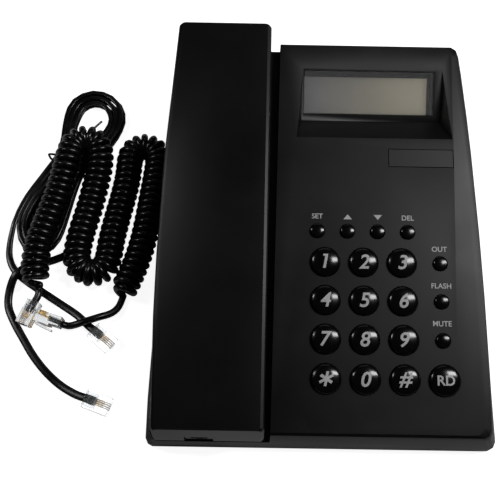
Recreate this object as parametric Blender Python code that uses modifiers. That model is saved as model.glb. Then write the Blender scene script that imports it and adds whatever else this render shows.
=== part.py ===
# Corded desk telephone, lying on a table with both of its cords unplugged beside it.
# Metres, +X to the right, +Y to the back, +Z up. The origin is under the middle of the base.
import math

import bmesh
import bpy
import numpy as np
from mathutils import Matrix, Vector

# Base: overall sizes
BASE_LENGTH = 0.208
BASE_WIDTH = 0.178
PANEL_WIDTH = 0.166
PANEL_FRONT_HEIGHT = 0.023
PANEL_BACK_HEIGHT = 0.0574
COVER_WALL = 0.0025
EDGE_RUN = 0.0044
EDGE_DROP = 0.0022
SIDE_FLARE = 0.0012
FRONT_SLOPE_RUN = 0.003
BACK_SLOPE_RUN = 0.0006
CASE_BOTTOM = 0.002
SEAM_HEIGHT = 0.010
CASE_FLOOR = 0.0023
CASE_WALL = 0.0023
GAP = 0.0003
OVERRUN = 0.004

# Cradle at the left of the base
CHANNEL_EDGE_X = 0.0241
CHANNEL_EDGE_SKEW = 0.0019
DECK_DROP = 0.008
CRADLE_GAP = 0.0006

# Handset
HANDSET_OUTER_X = 0.0826
HANDSET_INNER_FRONT_X = 0.0293
HANDSET_INNER_BACK_X = 0.0276
HANDSET_FRONT_TOP = 0.0456
HANDSET_BACK_TOP = 0.0735
HANDSET_DEPTH = 0.032
HANDSET_PARTING = 0.015
HANDSET_WALL = 0.0022
HANDSET_TOP_RADIUS = 0.002
HANDSET_BOTTOM_RADIUS = 0.004
HANDSET_FRONT_RUN = 0.003
HANDSET_BACK_RUN = 0.0008
HANDSET_UNDERCUT = 0.004
HANDSET_CORNER = 0.0012
HANDSET_TAPER_SHARE = 0.3

# Keypad
KEY_PITCH = 0.0195
FIRST_KEY_X = 0.00113
KEYPAD_FRONT_MARGIN = 0.02985
ROW_COUNT = 4
BIG_KEY_DIAMETER = 0.0149
REDIAL_DIAMETER = 0.0154
SMALL_KEY_DIAMETER = 0.0073
KEY_CLEARANCE = 0.00038
KEY_CROWN = 0.003
SMALL_KEY_CROWN = 0.0019
BIG_KEY_SIDES = 20
SMALL_KEY_SIDES = 14
KEY_EDGE_HEIGHT = 0.001
KEY_FLANGE_OVERLAP = 0.001
KEY_FLANGE_HEIGHT = 0.001
KEY_TRAVEL = 0.0015
SIDE_COLUMN_X = 0.0597
TOP_ROW_STEP = 0.01615
TOP_ROW_X = -0.0027
TOP_ROW_PITCH = 0.01545
MEMBRANE_HEIGHT = 0.0012
BOARD_HEIGHT = 0.0016
BOARD_MARGIN = 0.004

# Display
DISPLAY_BACK_MARGIN = 0.0133
DISPLAY_DEPTH = 0.008
DISPLAY_RUN = 0.0395
DISPLAY_FLOOR_RUN = 0.0270
DISPLAY_TOP_LEFT_X = -0.0101
DISPLAY_TOP_RIGHT_X = 0.0648
DISPLAY_LOW_LEFT_X = -0.0134
DISPLAY_LOW_RIGHT_X = 0.0688
DISPLAY_FOOT_LEFT_X = -0.0104
DISPLAY_FOOT_RIGHT_X = 0.0645
WINDOW_LEFT_X = -0.0094
WINDOW_RIGHT_X = 0.0608
WINDOW_TOP_MARGIN = 0.0012
WINDOW_HEIGHT = 0.0232
WINDOW_THICKNESS = 0.0012
WINDOW_TUBE_DEPTH = 0.0062
WINDOW_TUBE_WALL = 0.0016
LCD_THICKNESS = 0.0028

# Name plate
PLATE_X = 0.05175
PLATE_ROOM_SHARE = 0.843455
PLATE_WIDTH = 0.0343
PLATE_HEIGHT = 0.010
PLATE_DEPTH = 0.0011
PLATE_GROOVE = 0.0004

# Screws
SCREW_HEAD_DIAMETER = 0.0056
SCREW_HEAD_HEIGHT = 0.0019
SCREW_SHANK_DIAMETER = 0.003
SCREW_LENGTH = 0.008
SCREW_SINK = 0.0015
HOLE_SIDES = 12
CASE_SCREW_X = 0.068
CASE_SCREW_FRONT_INSET = 0.016
CASE_SCREW_BACK_INSET = 0.008
BOSS_DIAMETER = 0.0074
PILLAR_DIAMETER = 0.0098
PILLAR_HEIGHT = 0.0072
HANDSET_PILLAR_HEIGHT = 0.0056
BOARD_PILLAR_DIAMETER = 0.006

# Feet
FOOT_DIAMETER = 0.012
FOOT_HEIGHT = 0.0026
FOOT_X = 0.073
FOOT_END_INSET = 0.034
FOOT_RECESS = 0.0009

# Sockets
JACK_WIDTH = 0.0130
JACK_HEIGHT = 0.0098
JACK_LENGTH = 0.0150
LINE_SOCKET_WIDTH = 0.0099
HANDSET_SOCKET_WIDTH = 0.0079
SOCKET_HEIGHT = 0.0068
SOCKET_DEPTH = 0.0118
LATCH_WIDTH = 0.0034
LATCH_HEIGHT = 0.0012
JACK_RECESS = 0.0008
LINE_JACK_X = 0.025
BASE_JACK_Y = -0.022
JACK_LIFT = 0.0048
HANDSET_JACK_X = -0.0598

# Hook switch
PLUNGER_X = -0.055
PLUNGER_BACK_INSET = 0.024
PLUNGER_WIDTH = 0.010
PLUNGER_DEPTH = 0.006
PLUNGER_FLANGE = 0.002
PLUNGER_FLANGE_HEIGHT = 0.0018
PLUNGER_TRAVEL = 0.004
HOOK_SWITCH_WIDTH = 0.0128
HOOK_SWITCH_DEPTH = 0.0065
HOOK_SWITCH_HEIGHT = 0.0058

# Capsules and ringer
RECEIVER_DIAMETER = 0.028
RECEIVER_HEIGHT = 0.007
RECEIVER_PLACE_SHARE = 0.399038
MICROPHONE_DIAMETER = 0.0097
MICROPHONE_HEIGHT = 0.0045
MICROPHONE_PLACE_SHARE = -0.399038
SOUND_HOLE_DIAMETER = 0.0024
SOUND_RING_RADIUS = 0.006
SOUND_RING_COUNT = 6
HANDSET_SCREW_PLACE_SHARE = 0.298077
RINGER_DIAMETER = 0.027
RINGER_HEIGHT = 0.0055
RINGER_X = 0.030
RINGER_Y = 0.045

# Curly handset cord
WIRE_DIAMETER = 0.0040
COIL_DIAMETER = 0.0154
CURL_PITCH = 0.0047
CURL_POINTS = 8
CURL_RAMP = 0.8
CURL_START = math.radians(180)
BEND_LIMIT_SHARE = 0.82
BEND_EASE_SHARE = 1.2
LOOSE_PITCH_SHARE = 1.13
LOOSE_END_SHARE = 0.24

# Flat line cord and its hank
LINE_DIAMETER = 0.0026
LANE_STEP = 0.0036
HANK_TURNS = 5.625
HANK_CLIMB_TURNS = 0.25
HANK_LOOP_POINTS = 24
TIE_DIAMETER = 0.0013
TIE_LIFT = 0.0018
TIE_X = -0.1397
TIE_Y = 0.0570
TIE_TURN = math.radians(-10)
TIE_START = math.radians(86)
TIE_SWEEP = math.radians(-356)
TIE_HALF_SPAN = 0.0160
TIE_POINTS = 24
TIE_CORNER_SHARE = 0.35

# Plugs
HANDSET_PLUG_WIDTH = 0.00765
LINE_PLUG_WIDTH = 0.00965
PLUG_HEIGHT = 0.0064
PLUG_LENGTH = 0.0138
PLUG_NECK_LENGTH = 0.0052
PLUG_NECK_DROP = 0.0009
PLUG_LATCH_LENGTH = 0.0105
PLUG_LATCH_WIDTH = 0.0031
PLUG_LATCH_HEIGHT = 0.0011
PLUG_LATCH_RISE = 0.0016
PLUG_A_ROLL = 0.0
PLUG_B_ROLL = math.radians(-90)

# How the base narrows from front to back: share of its half length, share of its half width
SIDE_SHARES = (
    (-1.0, 0.955), (-0.988, 0.982), (-0.96, 0.997), (-0.77, 1.0), (-0.316, 0.990),
    (0.0, 0.977), (0.42, 0.951), (0.61, 0.935), (0.84, 0.912), (0.95, 0.898),
    (0.986, 0.885), (1.0, 0.856),
)

# Handset stations: share of its length from the front, share of its depth, share of its outer edge
HANDSET_SHARES = (
    (0.0, 1.0, 0.989), (0.006, 1.0, 0.989), (0.14, 1.0, 0.995), (0.21, 1.0, 0.998),
    (0.27, 0.87, 1.0), (0.33, 0.68, 0.999), (0.41, 0.61, 0.997), (0.50, 0.60, 0.990),
    (0.59, 0.61, 0.983), (0.67, 0.68, 0.974), (0.73, 0.87, 0.963), (0.79, 1.0, 0.953),
    (0.87, 1.0, 0.939), (0.994, 1.0, 0.919), (1.0, 1.0, 0.918),
)

# Route of the curly cord's axis in metres: across, back, and the height of its lowest point
CURLY_ROUTE = (
    (-0.1520, -0.0212, 0.0046), (-0.1530, -0.0110, 0.0058), (-0.1522, 0.0010, 0.0071),
    (-0.1495, 0.0125, 0.0072), (-0.1464, 0.0245, 0.0074), (-0.1436, 0.0360, 0.0084),
    (-0.1414, 0.0465, 0.0102), (-0.1399, 0.0560, 0.0106), (-0.1373, 0.0619, 0.0107),
    (-0.1316, 0.0643, 0.0107), (-0.1258, 0.0620, 0.0102), (-0.1232, 0.0560, 0.0096),
    (-0.1231, 0.0470, 0.0082), (-0.1250, 0.0350, 0.0058), (-0.1277, 0.0210, 0.0042),
    (-0.1304, 0.0080, 0.0038), (-0.1317, -0.0050, 0.0030), (-0.1293, -0.0109, 0.0020),
    (-0.1234, -0.0133, 0.0008), (-0.1175, -0.0109, 0.0002), (-0.1151, -0.0050, 0.0),
    (-0.1140, 0.0070, 0.0), (-0.1118, 0.0210, 0.0), (-0.1094, 0.0345, 0.0),
    (-0.1079, 0.0465, 0.0), (-0.1075, 0.0575, 0.0), (-0.1051, 0.0633, 0.0),
    (-0.0993, 0.0657, 0.0), (-0.0936, 0.0633, 0.0), (-0.0913, 0.0575, 0.0),
    (-0.0919, 0.0460, 0.0), (-0.0933, 0.0330, 0.0), (-0.0946, 0.0200, 0.0),
    (-0.0964, 0.0070, 0.0), (-0.0990, -0.0050, 0.0), (-0.1026, -0.0160, 0.0),
    (-0.1062, -0.0245, 0.0),
)
CURLY_TAIL_IN = ((-0.15265, -0.02930, 0.0045), (-0.15125, -0.02554, 0.0045))
CURLY_TAIL_OUT = (
    (-0.1082, -0.0306, 0.0002), (-0.1118, -0.0346, 0.0014), (-0.1176, -0.0374, 0.0036),
    (-0.1240, -0.0400, 0.0047), (-0.1300, -0.0420, 0.0040), (-0.1342, -0.0422, 0.0023),
    (-0.1376, -0.0411, 0.0020),
)

# Route of one loop of the hank in metres, from the right of its waist up round the top
HANK_ROUTE = (
    (-0.1315, 0.0600), (-0.1222, 0.0735), (-0.1183, 0.0860), (-0.1228, 0.0968),
    (-0.1330, 0.1008), (-0.1424, 0.0956), (-0.1458, 0.0830), (-0.1458, 0.0700),
    (-0.1478, 0.0580), (-0.1545, 0.0460), (-0.1620, 0.0330), (-0.1663, 0.0205),
    (-0.1662, 0.0125), (-0.1627, 0.0052), (-0.1560, 0.0024), (-0.1493, 0.0052),
    (-0.1458, 0.0125), (-0.1433, 0.0240), (-0.1405, 0.0380), (-0.1370, 0.0495),
)
WAIST_Y = 0.0575
WAIST_REACH = 0.016

# Leads from the hank to the plugs, in metres: across, back, and height of the lowest point
LEAD_A_ROUTE = (
    (-0.1720, 0.0055, 0.0016), (-0.1714, -0.0035, 0.0), (-0.1670, -0.0110, 0.0),
    (-0.1600, -0.0166, 0.0), (-0.1525, -0.0215, 0.0), (-0.1450, -0.0262, 0.0),
    (-0.1384, -0.0303, 0.0), (-0.1315, -0.0347, 0.0004), (-0.1270, -0.0383, 0.0009),
    (-0.1236, -0.0415, 0.0016), (-0.1208, -0.0437, 0.0019),
)
LEAD_B_ROUTE = (
    (-0.1322, 0.0420, 0.0), (-0.1325, 0.0300, 0.0), (-0.1322, 0.0180, 0.0),
    (-0.1340, 0.0075, 0.0), (-0.1388, 0.0006, 0.0), (-0.1460, -0.0034, 0.0),
    (-0.1540, -0.0062, 0.0004), (-0.1605, -0.0092, 0.0026), (-0.1655, -0.0136, 0.0036),
    (-0.1684, -0.0215, 0.0014), (-0.1684, -0.0310, 0.0), (-0.1640, -0.0400, 0.0),
    (-0.1580, -0.0490, 0.0), (-0.1515, -0.0582, 0.0), (-0.1440, -0.0665, 0.0),
    (-0.1358, -0.0733, 0.0), (-0.1276, -0.0780, 0.0010), (-0.1217, -0.0802, 0.0019),
)
TIE_ROUTE_TAIL = ((-0.1262, 0.0822, 0.0082), (-0.1316, 0.0752, 0.0087), (-0.1345, 0.0680, 0.0090))
TIE_ROUTE_END = ((-0.1392, 0.0632, 0.0091), (-0.1378, 0.0695, 0.0089), (-0.1348, 0.0756, 0.0086))

# Colour, roughness, metal share and clearness of each finish
FINISHES = {
    "case": ((0.012, 0.012, 0.013), 0.42, 0.0, 0.0),
    "key": ((0.010, 0.010, 0.011), 0.20, 0.0, 0.0),
    "cord": ((0.010, 0.010, 0.010), 0.32, 0.0, 0.0),
    "dark": ((0.020, 0.020, 0.022), 0.50, 0.0, 0.0),
    "rubber": ((0.030, 0.030, 0.030), 0.85, 0.0, 0.0),
    "board": ((0.020, 0.110, 0.045), 0.45, 0.0, 0.0),
    "clear": ((0.90, 0.92, 0.92), 0.06, 0.0, 0.9),
    "lcd": ((0.270, 0.265, 0.160), 0.25, 0.0, 0.0),
    "steel": ((0.55, 0.55, 0.56), 0.35, 1.0, 0.0),
}

half_length = BASE_LENGTH / 2
handset_length = BASE_LENGTH
display_top_v = half_length - DISPLAY_BACK_MARGIN
display_low_v = display_top_v - DISPLAY_RUN
display_foot_v = display_top_v - DISPLAY_FLOOR_RUN
first_key_v = KEYPAD_FRONT_MARGIN + (ROW_COUNT - 1) * KEY_PITCH - half_length
top_row_v = first_key_v + TOP_ROW_STEP
top_row_edge = top_row_v + SMALL_KEY_DIAMETER / 2
plate_room = display_low_v - top_row_edge - PLATE_HEIGHT
plate_v = top_row_edge + PLATE_HEIGHT / 2 + PLATE_ROOM_SHARE * plate_room
case_screw_front_y = CASE_SCREW_FRONT_INSET - half_length
case_screw_back_y = half_length - CASE_SCREW_BACK_INSET
foot_y = half_length - FOOT_END_INSET
plunger_y = half_length - PLUNGER_BACK_INSET
receiver_y = RECEIVER_PLACE_SHARE * handset_length
microphone_y = MICROPHONE_PLACE_SHARE * handset_length
handset_screw_y = HANDSET_SCREW_PLACE_SHARE * handset_length
panel_slope = math.atan2(PANEL_BACK_HEIGHT - PANEL_FRONT_HEIGHT, BASE_LENGTH)
panel_middle = (PANEL_FRONT_HEIGHT + PANEL_BACK_HEIGHT) / 2
handset_slope = math.atan2(HANDSET_BACK_TOP - HANDSET_FRONT_TOP, handset_length)


def panel_height(y):
    return panel_middle + y * math.tan(panel_slope)


def handset_top(y):
    middle = (HANDSET_FRONT_TOP + HANDSET_BACK_TOP) / 2
    return middle + y * math.tan(handset_slope)


def handset_middle(y):
    """Middle of the handset's width at one place along it."""
    shares = np.array(HANDSET_SHARES)
    share = y / handset_length + 0.5
    outer = HANDSET_OUTER_X * float(np.interp(share, shares[:, 0], shares[:, 2]))
    inner = HANDSET_INNER_FRONT_X + (HANDSET_INNER_BACK_X - HANDSET_INNER_FRONT_X) * share
    return -(outer + inner) / 2


def panel_point(u, v, depth=0.0):
    """World place of a point on the panel, u across and v up its slope, depth below its face."""
    return Vector((
        u,
        v * math.cos(panel_slope) + depth * math.sin(panel_slope),
        panel_middle + v * math.sin(panel_slope) - depth * math.cos(panel_slope),
    ))


# Scene, collections and materials

def clear_scene():
    for thing in list(bpy.data.objects):
        bpy.data.objects.remove(thing, do_unlink=True)


def new_collection(name):
    collection = bpy.data.collections.new(name)
    bpy.context.scene.collection.children.link(collection)
    return collection


def new_material(name, colour, roughness, metallic=0.0, clear=0.0):
    material = bpy.data.materials.new(name)
    material.use_nodes = True
    shader = material.node_tree.nodes["Principled BSDF"]
    shader.inputs["Base Color"].default_value = (*colour, 1.0)
    shader.inputs["Roughness"].default_value = roughness
    shader.inputs["Metallic"].default_value = metallic
    shader.inputs["Transmission Weight"].default_value = clear
    return material


def place(name, mesh, collection, parent=None, location=(0, 0, 0), rotation=(0, 0, 0)):
    thing = bpy.data.objects.new(name, mesh)
    thing.parent = parent
    thing.location = location
    thing.rotation_euler = rotation
    collection.objects.link(thing)
    return thing


def add_part(name, mesh, finish, parent=None, location=(0, 0, 0), rotation=(0, 0, 0)):
    thing = place(name, mesh, parts, parent, location, rotation)
    colour, roughness, metallic, clear = FINISHES[finish]
    mesh.materials.clear()
    mesh.materials.append(new_material(name, colour, roughness, metallic, clear))
    return thing


def add_cutter(name, mesh, parent=None, location=(0, 0, 0), rotation=(0, 0, 0)):
    thing = place(name, mesh, cutters, parent, location, rotation)
    thing.hide_render = True
    thing.display_type = "WIRE"
    return thing


def combine(thing, other, operation="DIFFERENCE"):
    modifier = thing.modifiers.new(other.name, "BOOLEAN")
    modifier.operation = operation
    modifier.solver = "EXACT"
    modifier.object = other


# Meshes

def box_mesh(name, low, high):
    """A box between two corners."""
    low = Vector(low)
    high = Vector(high)
    builder = bmesh.new()
    bmesh.ops.create_cube(builder, size=1.0)
    size = high - low
    bmesh.ops.scale(builder, vec=size, verts=builder.verts)
    bmesh.ops.translate(builder, vec=(low + high) / 2, verts=builder.verts)
    return finish_mesh(name, builder)


def disc_mesh(name, diameter, low, high, sides=24, places=((0.0, 0.0),)):
    """Upright round bars between two heights, one at each place."""
    builder = bmesh.new()
    for x, y in places:
        shift = Matrix.Translation((x, y, (low + high) / 2))
        bmesh.ops.create_cone(
            builder, cap_ends=True, segments=sides, radius1=diameter / 2,
            radius2=diameter / 2, depth=high - low, matrix=shift)
    return finish_mesh(name, builder)


def finish_mesh(name, builder):
    mesh = bpy.data.meshes.new(name)
    builder.to_mesh(mesh)
    builder.free()
    return mesh


def smooth(mesh, angle=math.radians(35)):
    mesh.shade_smooth()
    mesh.set_sharp_from_angle(angle=angle)


def loft_mesh(name, rings, split=None):
    """A closed skin through rings of as many points; split gives two ring places that a cap folds at."""
    builder = bmesh.new()
    rows = [[builder.verts.new(point) for point in ring] for ring in rings]
    for lower, upper in zip(rows, rows[1:]):
        for i, corner in enumerate(lower):
            after = (i + 1) % len(lower)
            builder.faces.new((corner, lower[after], upper[after], upper[i]))
    for row in (rows[0], rows[-1]):
        if split is None:
            builder.faces.new(row)
        else:
            first, second = split
            builder.faces.new(row[first:second + 1])
            builder.faces.new(row[second:] + row[:first + 1])
    bmesh.ops.recalc_face_normals(builder, faces=builder.faces)
    return finish_mesh(name, builder)


def turned_mesh(name, profile, sides):
    """A profile of (radius, height) down the outer side, turned about Z by a Screw modifier."""
    outline = bpy.data.meshes.new(name + "_profile")
    points = [(radius, 0.0, height) for radius, height in profile]
    outline.from_pydata(points, [(i, i + 1) for i in range(len(points) - 1)], [])
    holder = bpy.data.objects.new(name + "_profile", outline)
    cutters.objects.link(holder)
    screw = holder.modifiers.new("turn", "SCREW")
    screw.steps = sides
    screw.render_steps = sides
    screw.use_merge_vertices = True
    screw.merge_threshold = GAP / 10
    bpy.context.view_layer.update()
    evaluated = holder.evaluated_get(bpy.context.evaluated_depsgraph_get())
    mesh = bpy.data.meshes.new_from_object(evaluated)
    bpy.data.objects.remove(holder)
    mesh.name = name
    smooth(mesh)
    return mesh


def tube_mesh(name, points, diameter, resolution):
    """A round tube through points, with closed ends, made a mesh with its caps welded."""
    curve = bpy.data.curves.new(name + "_line", "CURVE")
    curve.dimensions = "3D"
    curve.bevel_depth = diameter / 2
    curve.bevel_resolution = resolution
    curve.use_fill_caps = True
    spline = curve.splines.new("POLY")
    spline.points.add(len(points) - 1)
    for target, point in zip(spline.points, points):
        target.co = (*point, 1.0)
    holder = bpy.data.objects.new(name + "_line", curve)
    cutters.objects.link(holder)
    bpy.context.view_layer.update()
    evaluated = holder.evaluated_get(bpy.context.evaluated_depsgraph_get())
    mesh = bpy.data.meshes.new_from_object(evaluated)
    bpy.data.objects.remove(holder)
    builder = bmesh.new()
    builder.from_mesh(mesh)
    bmesh.ops.remove_doubles(builder, verts=builder.verts, dist=GAP / 10)
    bmesh.ops.recalc_face_normals(builder, faces=builder.faces)
    builder.to_mesh(mesh)
    builder.free()
    mesh.name = name
    smooth(mesh)
    return mesh


# Smooth lines through chosen points

def smooth_line(points, per_span, closed=False):
    """Points along a Catmull-Rom curve, per_span to each stretch between two chosen points."""
    given = np.array(points, float)
    count = len(given)
    if closed:
        padded = np.vstack((given[-1], given, given[0], given[1]))
        spans = count
    else:
        padded = np.vstack((2 * given[0] - given[1], given, 2 * given[-1] - given[-2]))
        spans = count - 1
    line = []
    for i in range(spans):
        before, start, end, after = padded[i:i + 4]
        for t in np.arange(per_span) / per_span:
            line.append(0.5 * (
                2 * start + (end - before) * t
                + (2 * before - 5 * start + 4 * end - after) * t ** 2
                + (3 * start - before - 3 * end + after) * t ** 3))
    if not closed:
        line.append(given[-1])
    return np.array(line)


def run_lengths(line):
    steps = np.linalg.norm(np.diff(line, axis=0), axis=1)
    return np.concatenate(((0.0,), np.cumsum(steps)))


def along(line, lengths, places):
    return np.column_stack([np.interp(places, lengths, line[:, i]) for i in range(line.shape[1])])


def even_line(points, step):
    """A smooth line through the points, with points a step apart."""
    line = smooth_line(points, 16)
    lengths = run_lengths(line)
    count = max(2, round(lengths[-1] / step))
    return along(line, lengths, np.linspace(0, lengths[-1], count + 1))


def least_gap(line, diameter, skip):
    """The least space between stretches of a tube further apart along it than skip."""
    fine = along(line, run_lengths(line), np.arange(0, run_lengths(line)[-1], diameter / 5))
    window = max(1, round(skip / (diameter / 5)))
    least = math.inf
    for i in range(0, len(fine) - window):
        away = np.linalg.norm(fine[i + window:] - fine[i], axis=1)
        least = min(least, away.min())
    return least - diameter


# Base

def case_ring(half_width, front, back, height):
    """Points round the base's outline, wide at the front, at a height that may depend on y."""
    side = []
    for length_share, width_share in SIDE_SHARES:
        y = (back + front) / 2 + length_share * (back - front) / 2
        side.append((half_width * width_share, y))
    outline = side + [(-x, y) for x, y in reversed(side)]
    return [(x, y, height(y)) for x, y in outline]


def cover_rings(inset, top_drop, low):
    """The cover's outer or inner surface, moved in by inset and its top down by top_drop."""
    half_panel = PANEL_WIDTH / 2
    side = half_panel - inset
    front = -half_length + inset
    back = half_length - inset

    def shoulder(y):
        return panel_height(y) - top_drop - EDGE_DROP

    def halfway(y):
        return panel_height(y) - top_drop - EDGE_DROP / 4

    def top(y):
        return panel_height(y) - top_drop

    seam_side = BASE_WIDTH / 2 - SIDE_FLARE - inset
    return [
        case_ring(seam_side, front, back, lambda y: low),
        case_ring(side, front + FRONT_SLOPE_RUN, back - BACK_SLOPE_RUN, shoulder),
        case_ring(side - EDGE_RUN / 4, front + FRONT_SLOPE_RUN + EDGE_RUN / 5,
                  back - BACK_SLOPE_RUN - EDGE_RUN / 8, halfway),
        case_ring(side - EDGE_RUN, front + FRONT_SLOPE_RUN + EDGE_RUN / 2,
                  back - BACK_SLOPE_RUN - EDGE_RUN / 3, top),
    ]


def cradle_block(name, drop, edge_shift):
    """Everything above the cradle's deck, left of the raised panel."""
    reach = BASE_WIDTH
    front = -half_length - OVERRUN
    back = half_length + OVERRUN
    top = PANEL_BACK_HEIGHT + OVERRUN
    rings = []
    for y, edge in ((front, CHANNEL_EDGE_X + CHANNEL_EDGE_SKEW), (back, CHANNEL_EDGE_X - CHANNEL_EDGE_SKEW)):
        low = panel_height(y) - drop
        right = -edge - edge_shift
        rings.append([(-reach, y, low), (right, y, low), (right, y, top), (-reach, y, top)])
    return add_cutter(name, loft_mesh(name, rings))


def display_wedge(name, grow, lid):
    """The sunk wedge at the display: deepest along its foot, flush along its top edge."""
    stretch = (DISPLAY_DEPTH - lid) / DISPLAY_DEPTH
    builder = bmesh.new()
    sides = (
        (-1, DISPLAY_FOOT_LEFT_X, DISPLAY_LOW_LEFT_X, DISPLAY_TOP_LEFT_X),
        (1, DISPLAY_FOOT_RIGHT_X, DISPLAY_LOW_RIGHT_X, DISPLAY_TOP_RIGHT_X),
    )
    for side, foot_x, low_x, top_x in sides:
        outward = side * grow
        builder.verts.new(panel_point(foot_x + outward, display_foot_v - grow, DISPLAY_DEPTH + grow))
        for edge_x, edge_v, away in ((low_x, display_low_v, -grow), (top_x, display_top_v, grow)):
            u = foot_x + (edge_x - foot_x) * stretch + outward
            v = display_foot_v + (edge_v - display_foot_v) * stretch + away
            builder.verts.new(panel_point(u, v, lid))
    bmesh.ops.convex_hull(builder, input=builder.verts)
    bmesh.ops.recalc_face_normals(builder, faces=builder.faces)
    return add_cutter(name, finish_mesh(name, builder))


# Handset surfaces

def handset_bottom(y):
    """Height of the underside of the handset's thick ends."""
    return handset_top(y) - HANDSET_DEPTH


def end_lean(low, run):
    """How far an end face leans in at a depth below the handset's top."""
    if low < HANDSET_PARTING:
        return run * (1 - low / HANDSET_PARTING)
    return HANDSET_UNDERCUT * (low - HANDSET_PARTING) / (HANDSET_DEPTH - HANDSET_PARTING)


def handset_ring(share, depth_share, edge_share, grow, end, corner):
    """One section of the handset, grown by grow; end is -1 or 1 on the leaning end faces."""
    y = (share - 0.5) * handset_length + end * grow
    inner = HANDSET_INNER_FRONT_X + (HANDSET_INNER_BACK_X - HANDSET_INNER_FRONT_X) * share
    left = -HANDSET_OUTER_X * edge_share - grow + corner
    right = -inner + grow - corner
    depth = HANDSET_DEPTH * depth_share
    below = depth - HANDSET_PARTING
    taper = HANDSET_TAPER_SHARE * below
    round_top = max(HANDSET_TOP_RADIUS + grow, GAP)
    flatness = min(1.0, 2 * below / (HANDSET_DEPTH - HANDSET_PARTING))
    round_low = max(HANDSET_BOTTOM_RADIUS + grow, GAP) * flatness
    turns = [math.radians(angle) for angle in (0, 45, 90)]
    upper = [(right - round_top * (1 - math.cos(turn)), round_top * (1 - math.sin(turn)) - grow)
             for turn in turns]
    lower = [(left + taper + round_low * (1 - math.cos(turn)),
              depth + grow - round_low * (1 - math.sin(turn))) for turn in turns]
    section = [(right, HANDSET_PARTING)] + upper
    section += [(left + right - x, low) for x, low in reversed(upper)]
    section += [(left, HANDSET_PARTING)] + lower
    section += [(left + right - x, low) for x, low in reversed(lower)]
    run = HANDSET_FRONT_RUN if end < 0 else HANDSET_BACK_RUN
    ring = []
    for x, low in section:
        leaned = y - end * end_lean(low, run)
        ring.append((x, leaned, handset_top(leaned) - low))
    return ring


def handset_solid(name, grow):
    """The whole handset as one solid, thick at both ends and slim at the grip."""
    rings = []
    last = len(HANDSET_SHARES) - 1
    for i, shares in enumerate(HANDSET_SHARES):
        end = -1 if i < 2 else 1 if i > last - 2 else 0
        corner = HANDSET_CORNER if i in (0, last) else 0.0
        rings.append(handset_ring(*shares, grow, end, corner))
    right_parting = 0
    left_parting = len(rings[0]) // 2
    return loft_mesh(name, rings, split=(right_parting, left_parting))


def parting_block(name, side):
    """Everything above (side 1) or below (side -1) the handset's parting plane."""
    rings = []
    for y in (-half_length - OVERRUN, half_length + OVERRUN):
        near = handset_top(y) - HANDSET_PARTING - side * GAP / 2
        far = near + side * (HANDSET_DEPTH + OVERRUN)
        left = -HANDSET_OUTER_X - OVERRUN
        rings.append([(left, y, near), (0.0, y, near), (0.0, y, far), (left, y, far)])
    return add_cutter(name, loft_mesh(name, rings))


# Screws, jacks and keys

def counterbore_depth():
    return SCREW_SINK + SCREW_HEAD_HEIGHT + GAP


def add_screw(name, x, y, surface):
    """A screw driven upwards, its head sunk above the surface that it enters."""
    radius = SCREW_HEAD_DIAMETER / 2
    shank = SCREW_SHANK_DIAMETER / 2
    profile = (
        (0.0, SCREW_HEAD_HEIGHT + SCREW_LENGTH), (shank, SCREW_HEAD_HEIGHT + SCREW_LENGTH - shank / 2),
        (shank, SCREW_HEAD_HEIGHT), (radius, SCREW_HEAD_HEIGHT), (radius, radius / 4), (0.0, 0.0),
    )
    mesh = turned_mesh(name, profile, 10)
    return add_part(name, mesh, "steel", location=(x, y, surface + SCREW_SINK))


def screw_holes(name, places):
    """One cutter with a stepped hole at each screw: wide at its head, narrow round its shank."""
    wide = SCREW_HEAD_DIAMETER / 2 + GAP
    narrow = SCREW_SHANK_DIAMETER / 2 + GAP
    steps = ((wide, -OVERRUN), (wide, counterbore_depth()), (narrow, counterbore_depth()),
             (narrow, counterbore_depth() + SCREW_LENGTH))
    turns = [2 * math.pi * i / HOLE_SIDES for i in range(HOLE_SIDES)]
    builder = bmesh.new()
    for x, y, surface in places:
        rings = [[(x + radius * math.cos(turn), y + radius * math.sin(turn), surface + low)
                  for turn in turns] for radius, low in steps]
        builder.from_mesh(loft_mesh(name, rings))
    return add_cutter(name, finish_mesh(name, builder))


def jack_mesh(name, socket_width):
    """A modular jack that faces -Y, its face at y 0 and its middle at x 0, z 0."""
    half = JACK_WIDTH / 2
    builder = bmesh.new()
    bmesh.ops.create_cube(builder, size=1.0)
    bmesh.ops.scale(builder, vec=(JACK_WIDTH, JACK_LENGTH, JACK_HEIGHT), verts=builder.verts)
    bmesh.ops.translate(builder, vec=(0, JACK_LENGTH / 2, 0), verts=builder.verts)
    mesh = finish_mesh(name, builder)
    holder = place(name + "_body", mesh, cutters)
    low = -SOCKET_HEIGHT / 2 + LATCH_HEIGHT / 2
    socket = add_cutter(name + "_socket", box_mesh(
        name + "_socket", (-socket_width / 2, -half, low),
        (socket_width / 2, SOCKET_DEPTH, low + SOCKET_HEIGHT)))
    latch = add_cutter(name + "_latch", box_mesh(
        name + "_latch", (-LATCH_WIDTH / 2, -half, low - LATCH_HEIGHT),
        (LATCH_WIDTH / 2, SOCKET_DEPTH - LATCH_HEIGHT, low + LATCH_HEIGHT)))
    combine(holder, socket)
    combine(holder, latch)
    bpy.context.view_layer.update()
    evaluated = holder.evaluated_get(bpy.context.evaluated_depsgraph_get())
    result = bpy.data.meshes.new_from_object(evaluated)
    for thing in (holder, socket, latch):
        bpy.data.objects.remove(thing)
    return result


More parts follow.
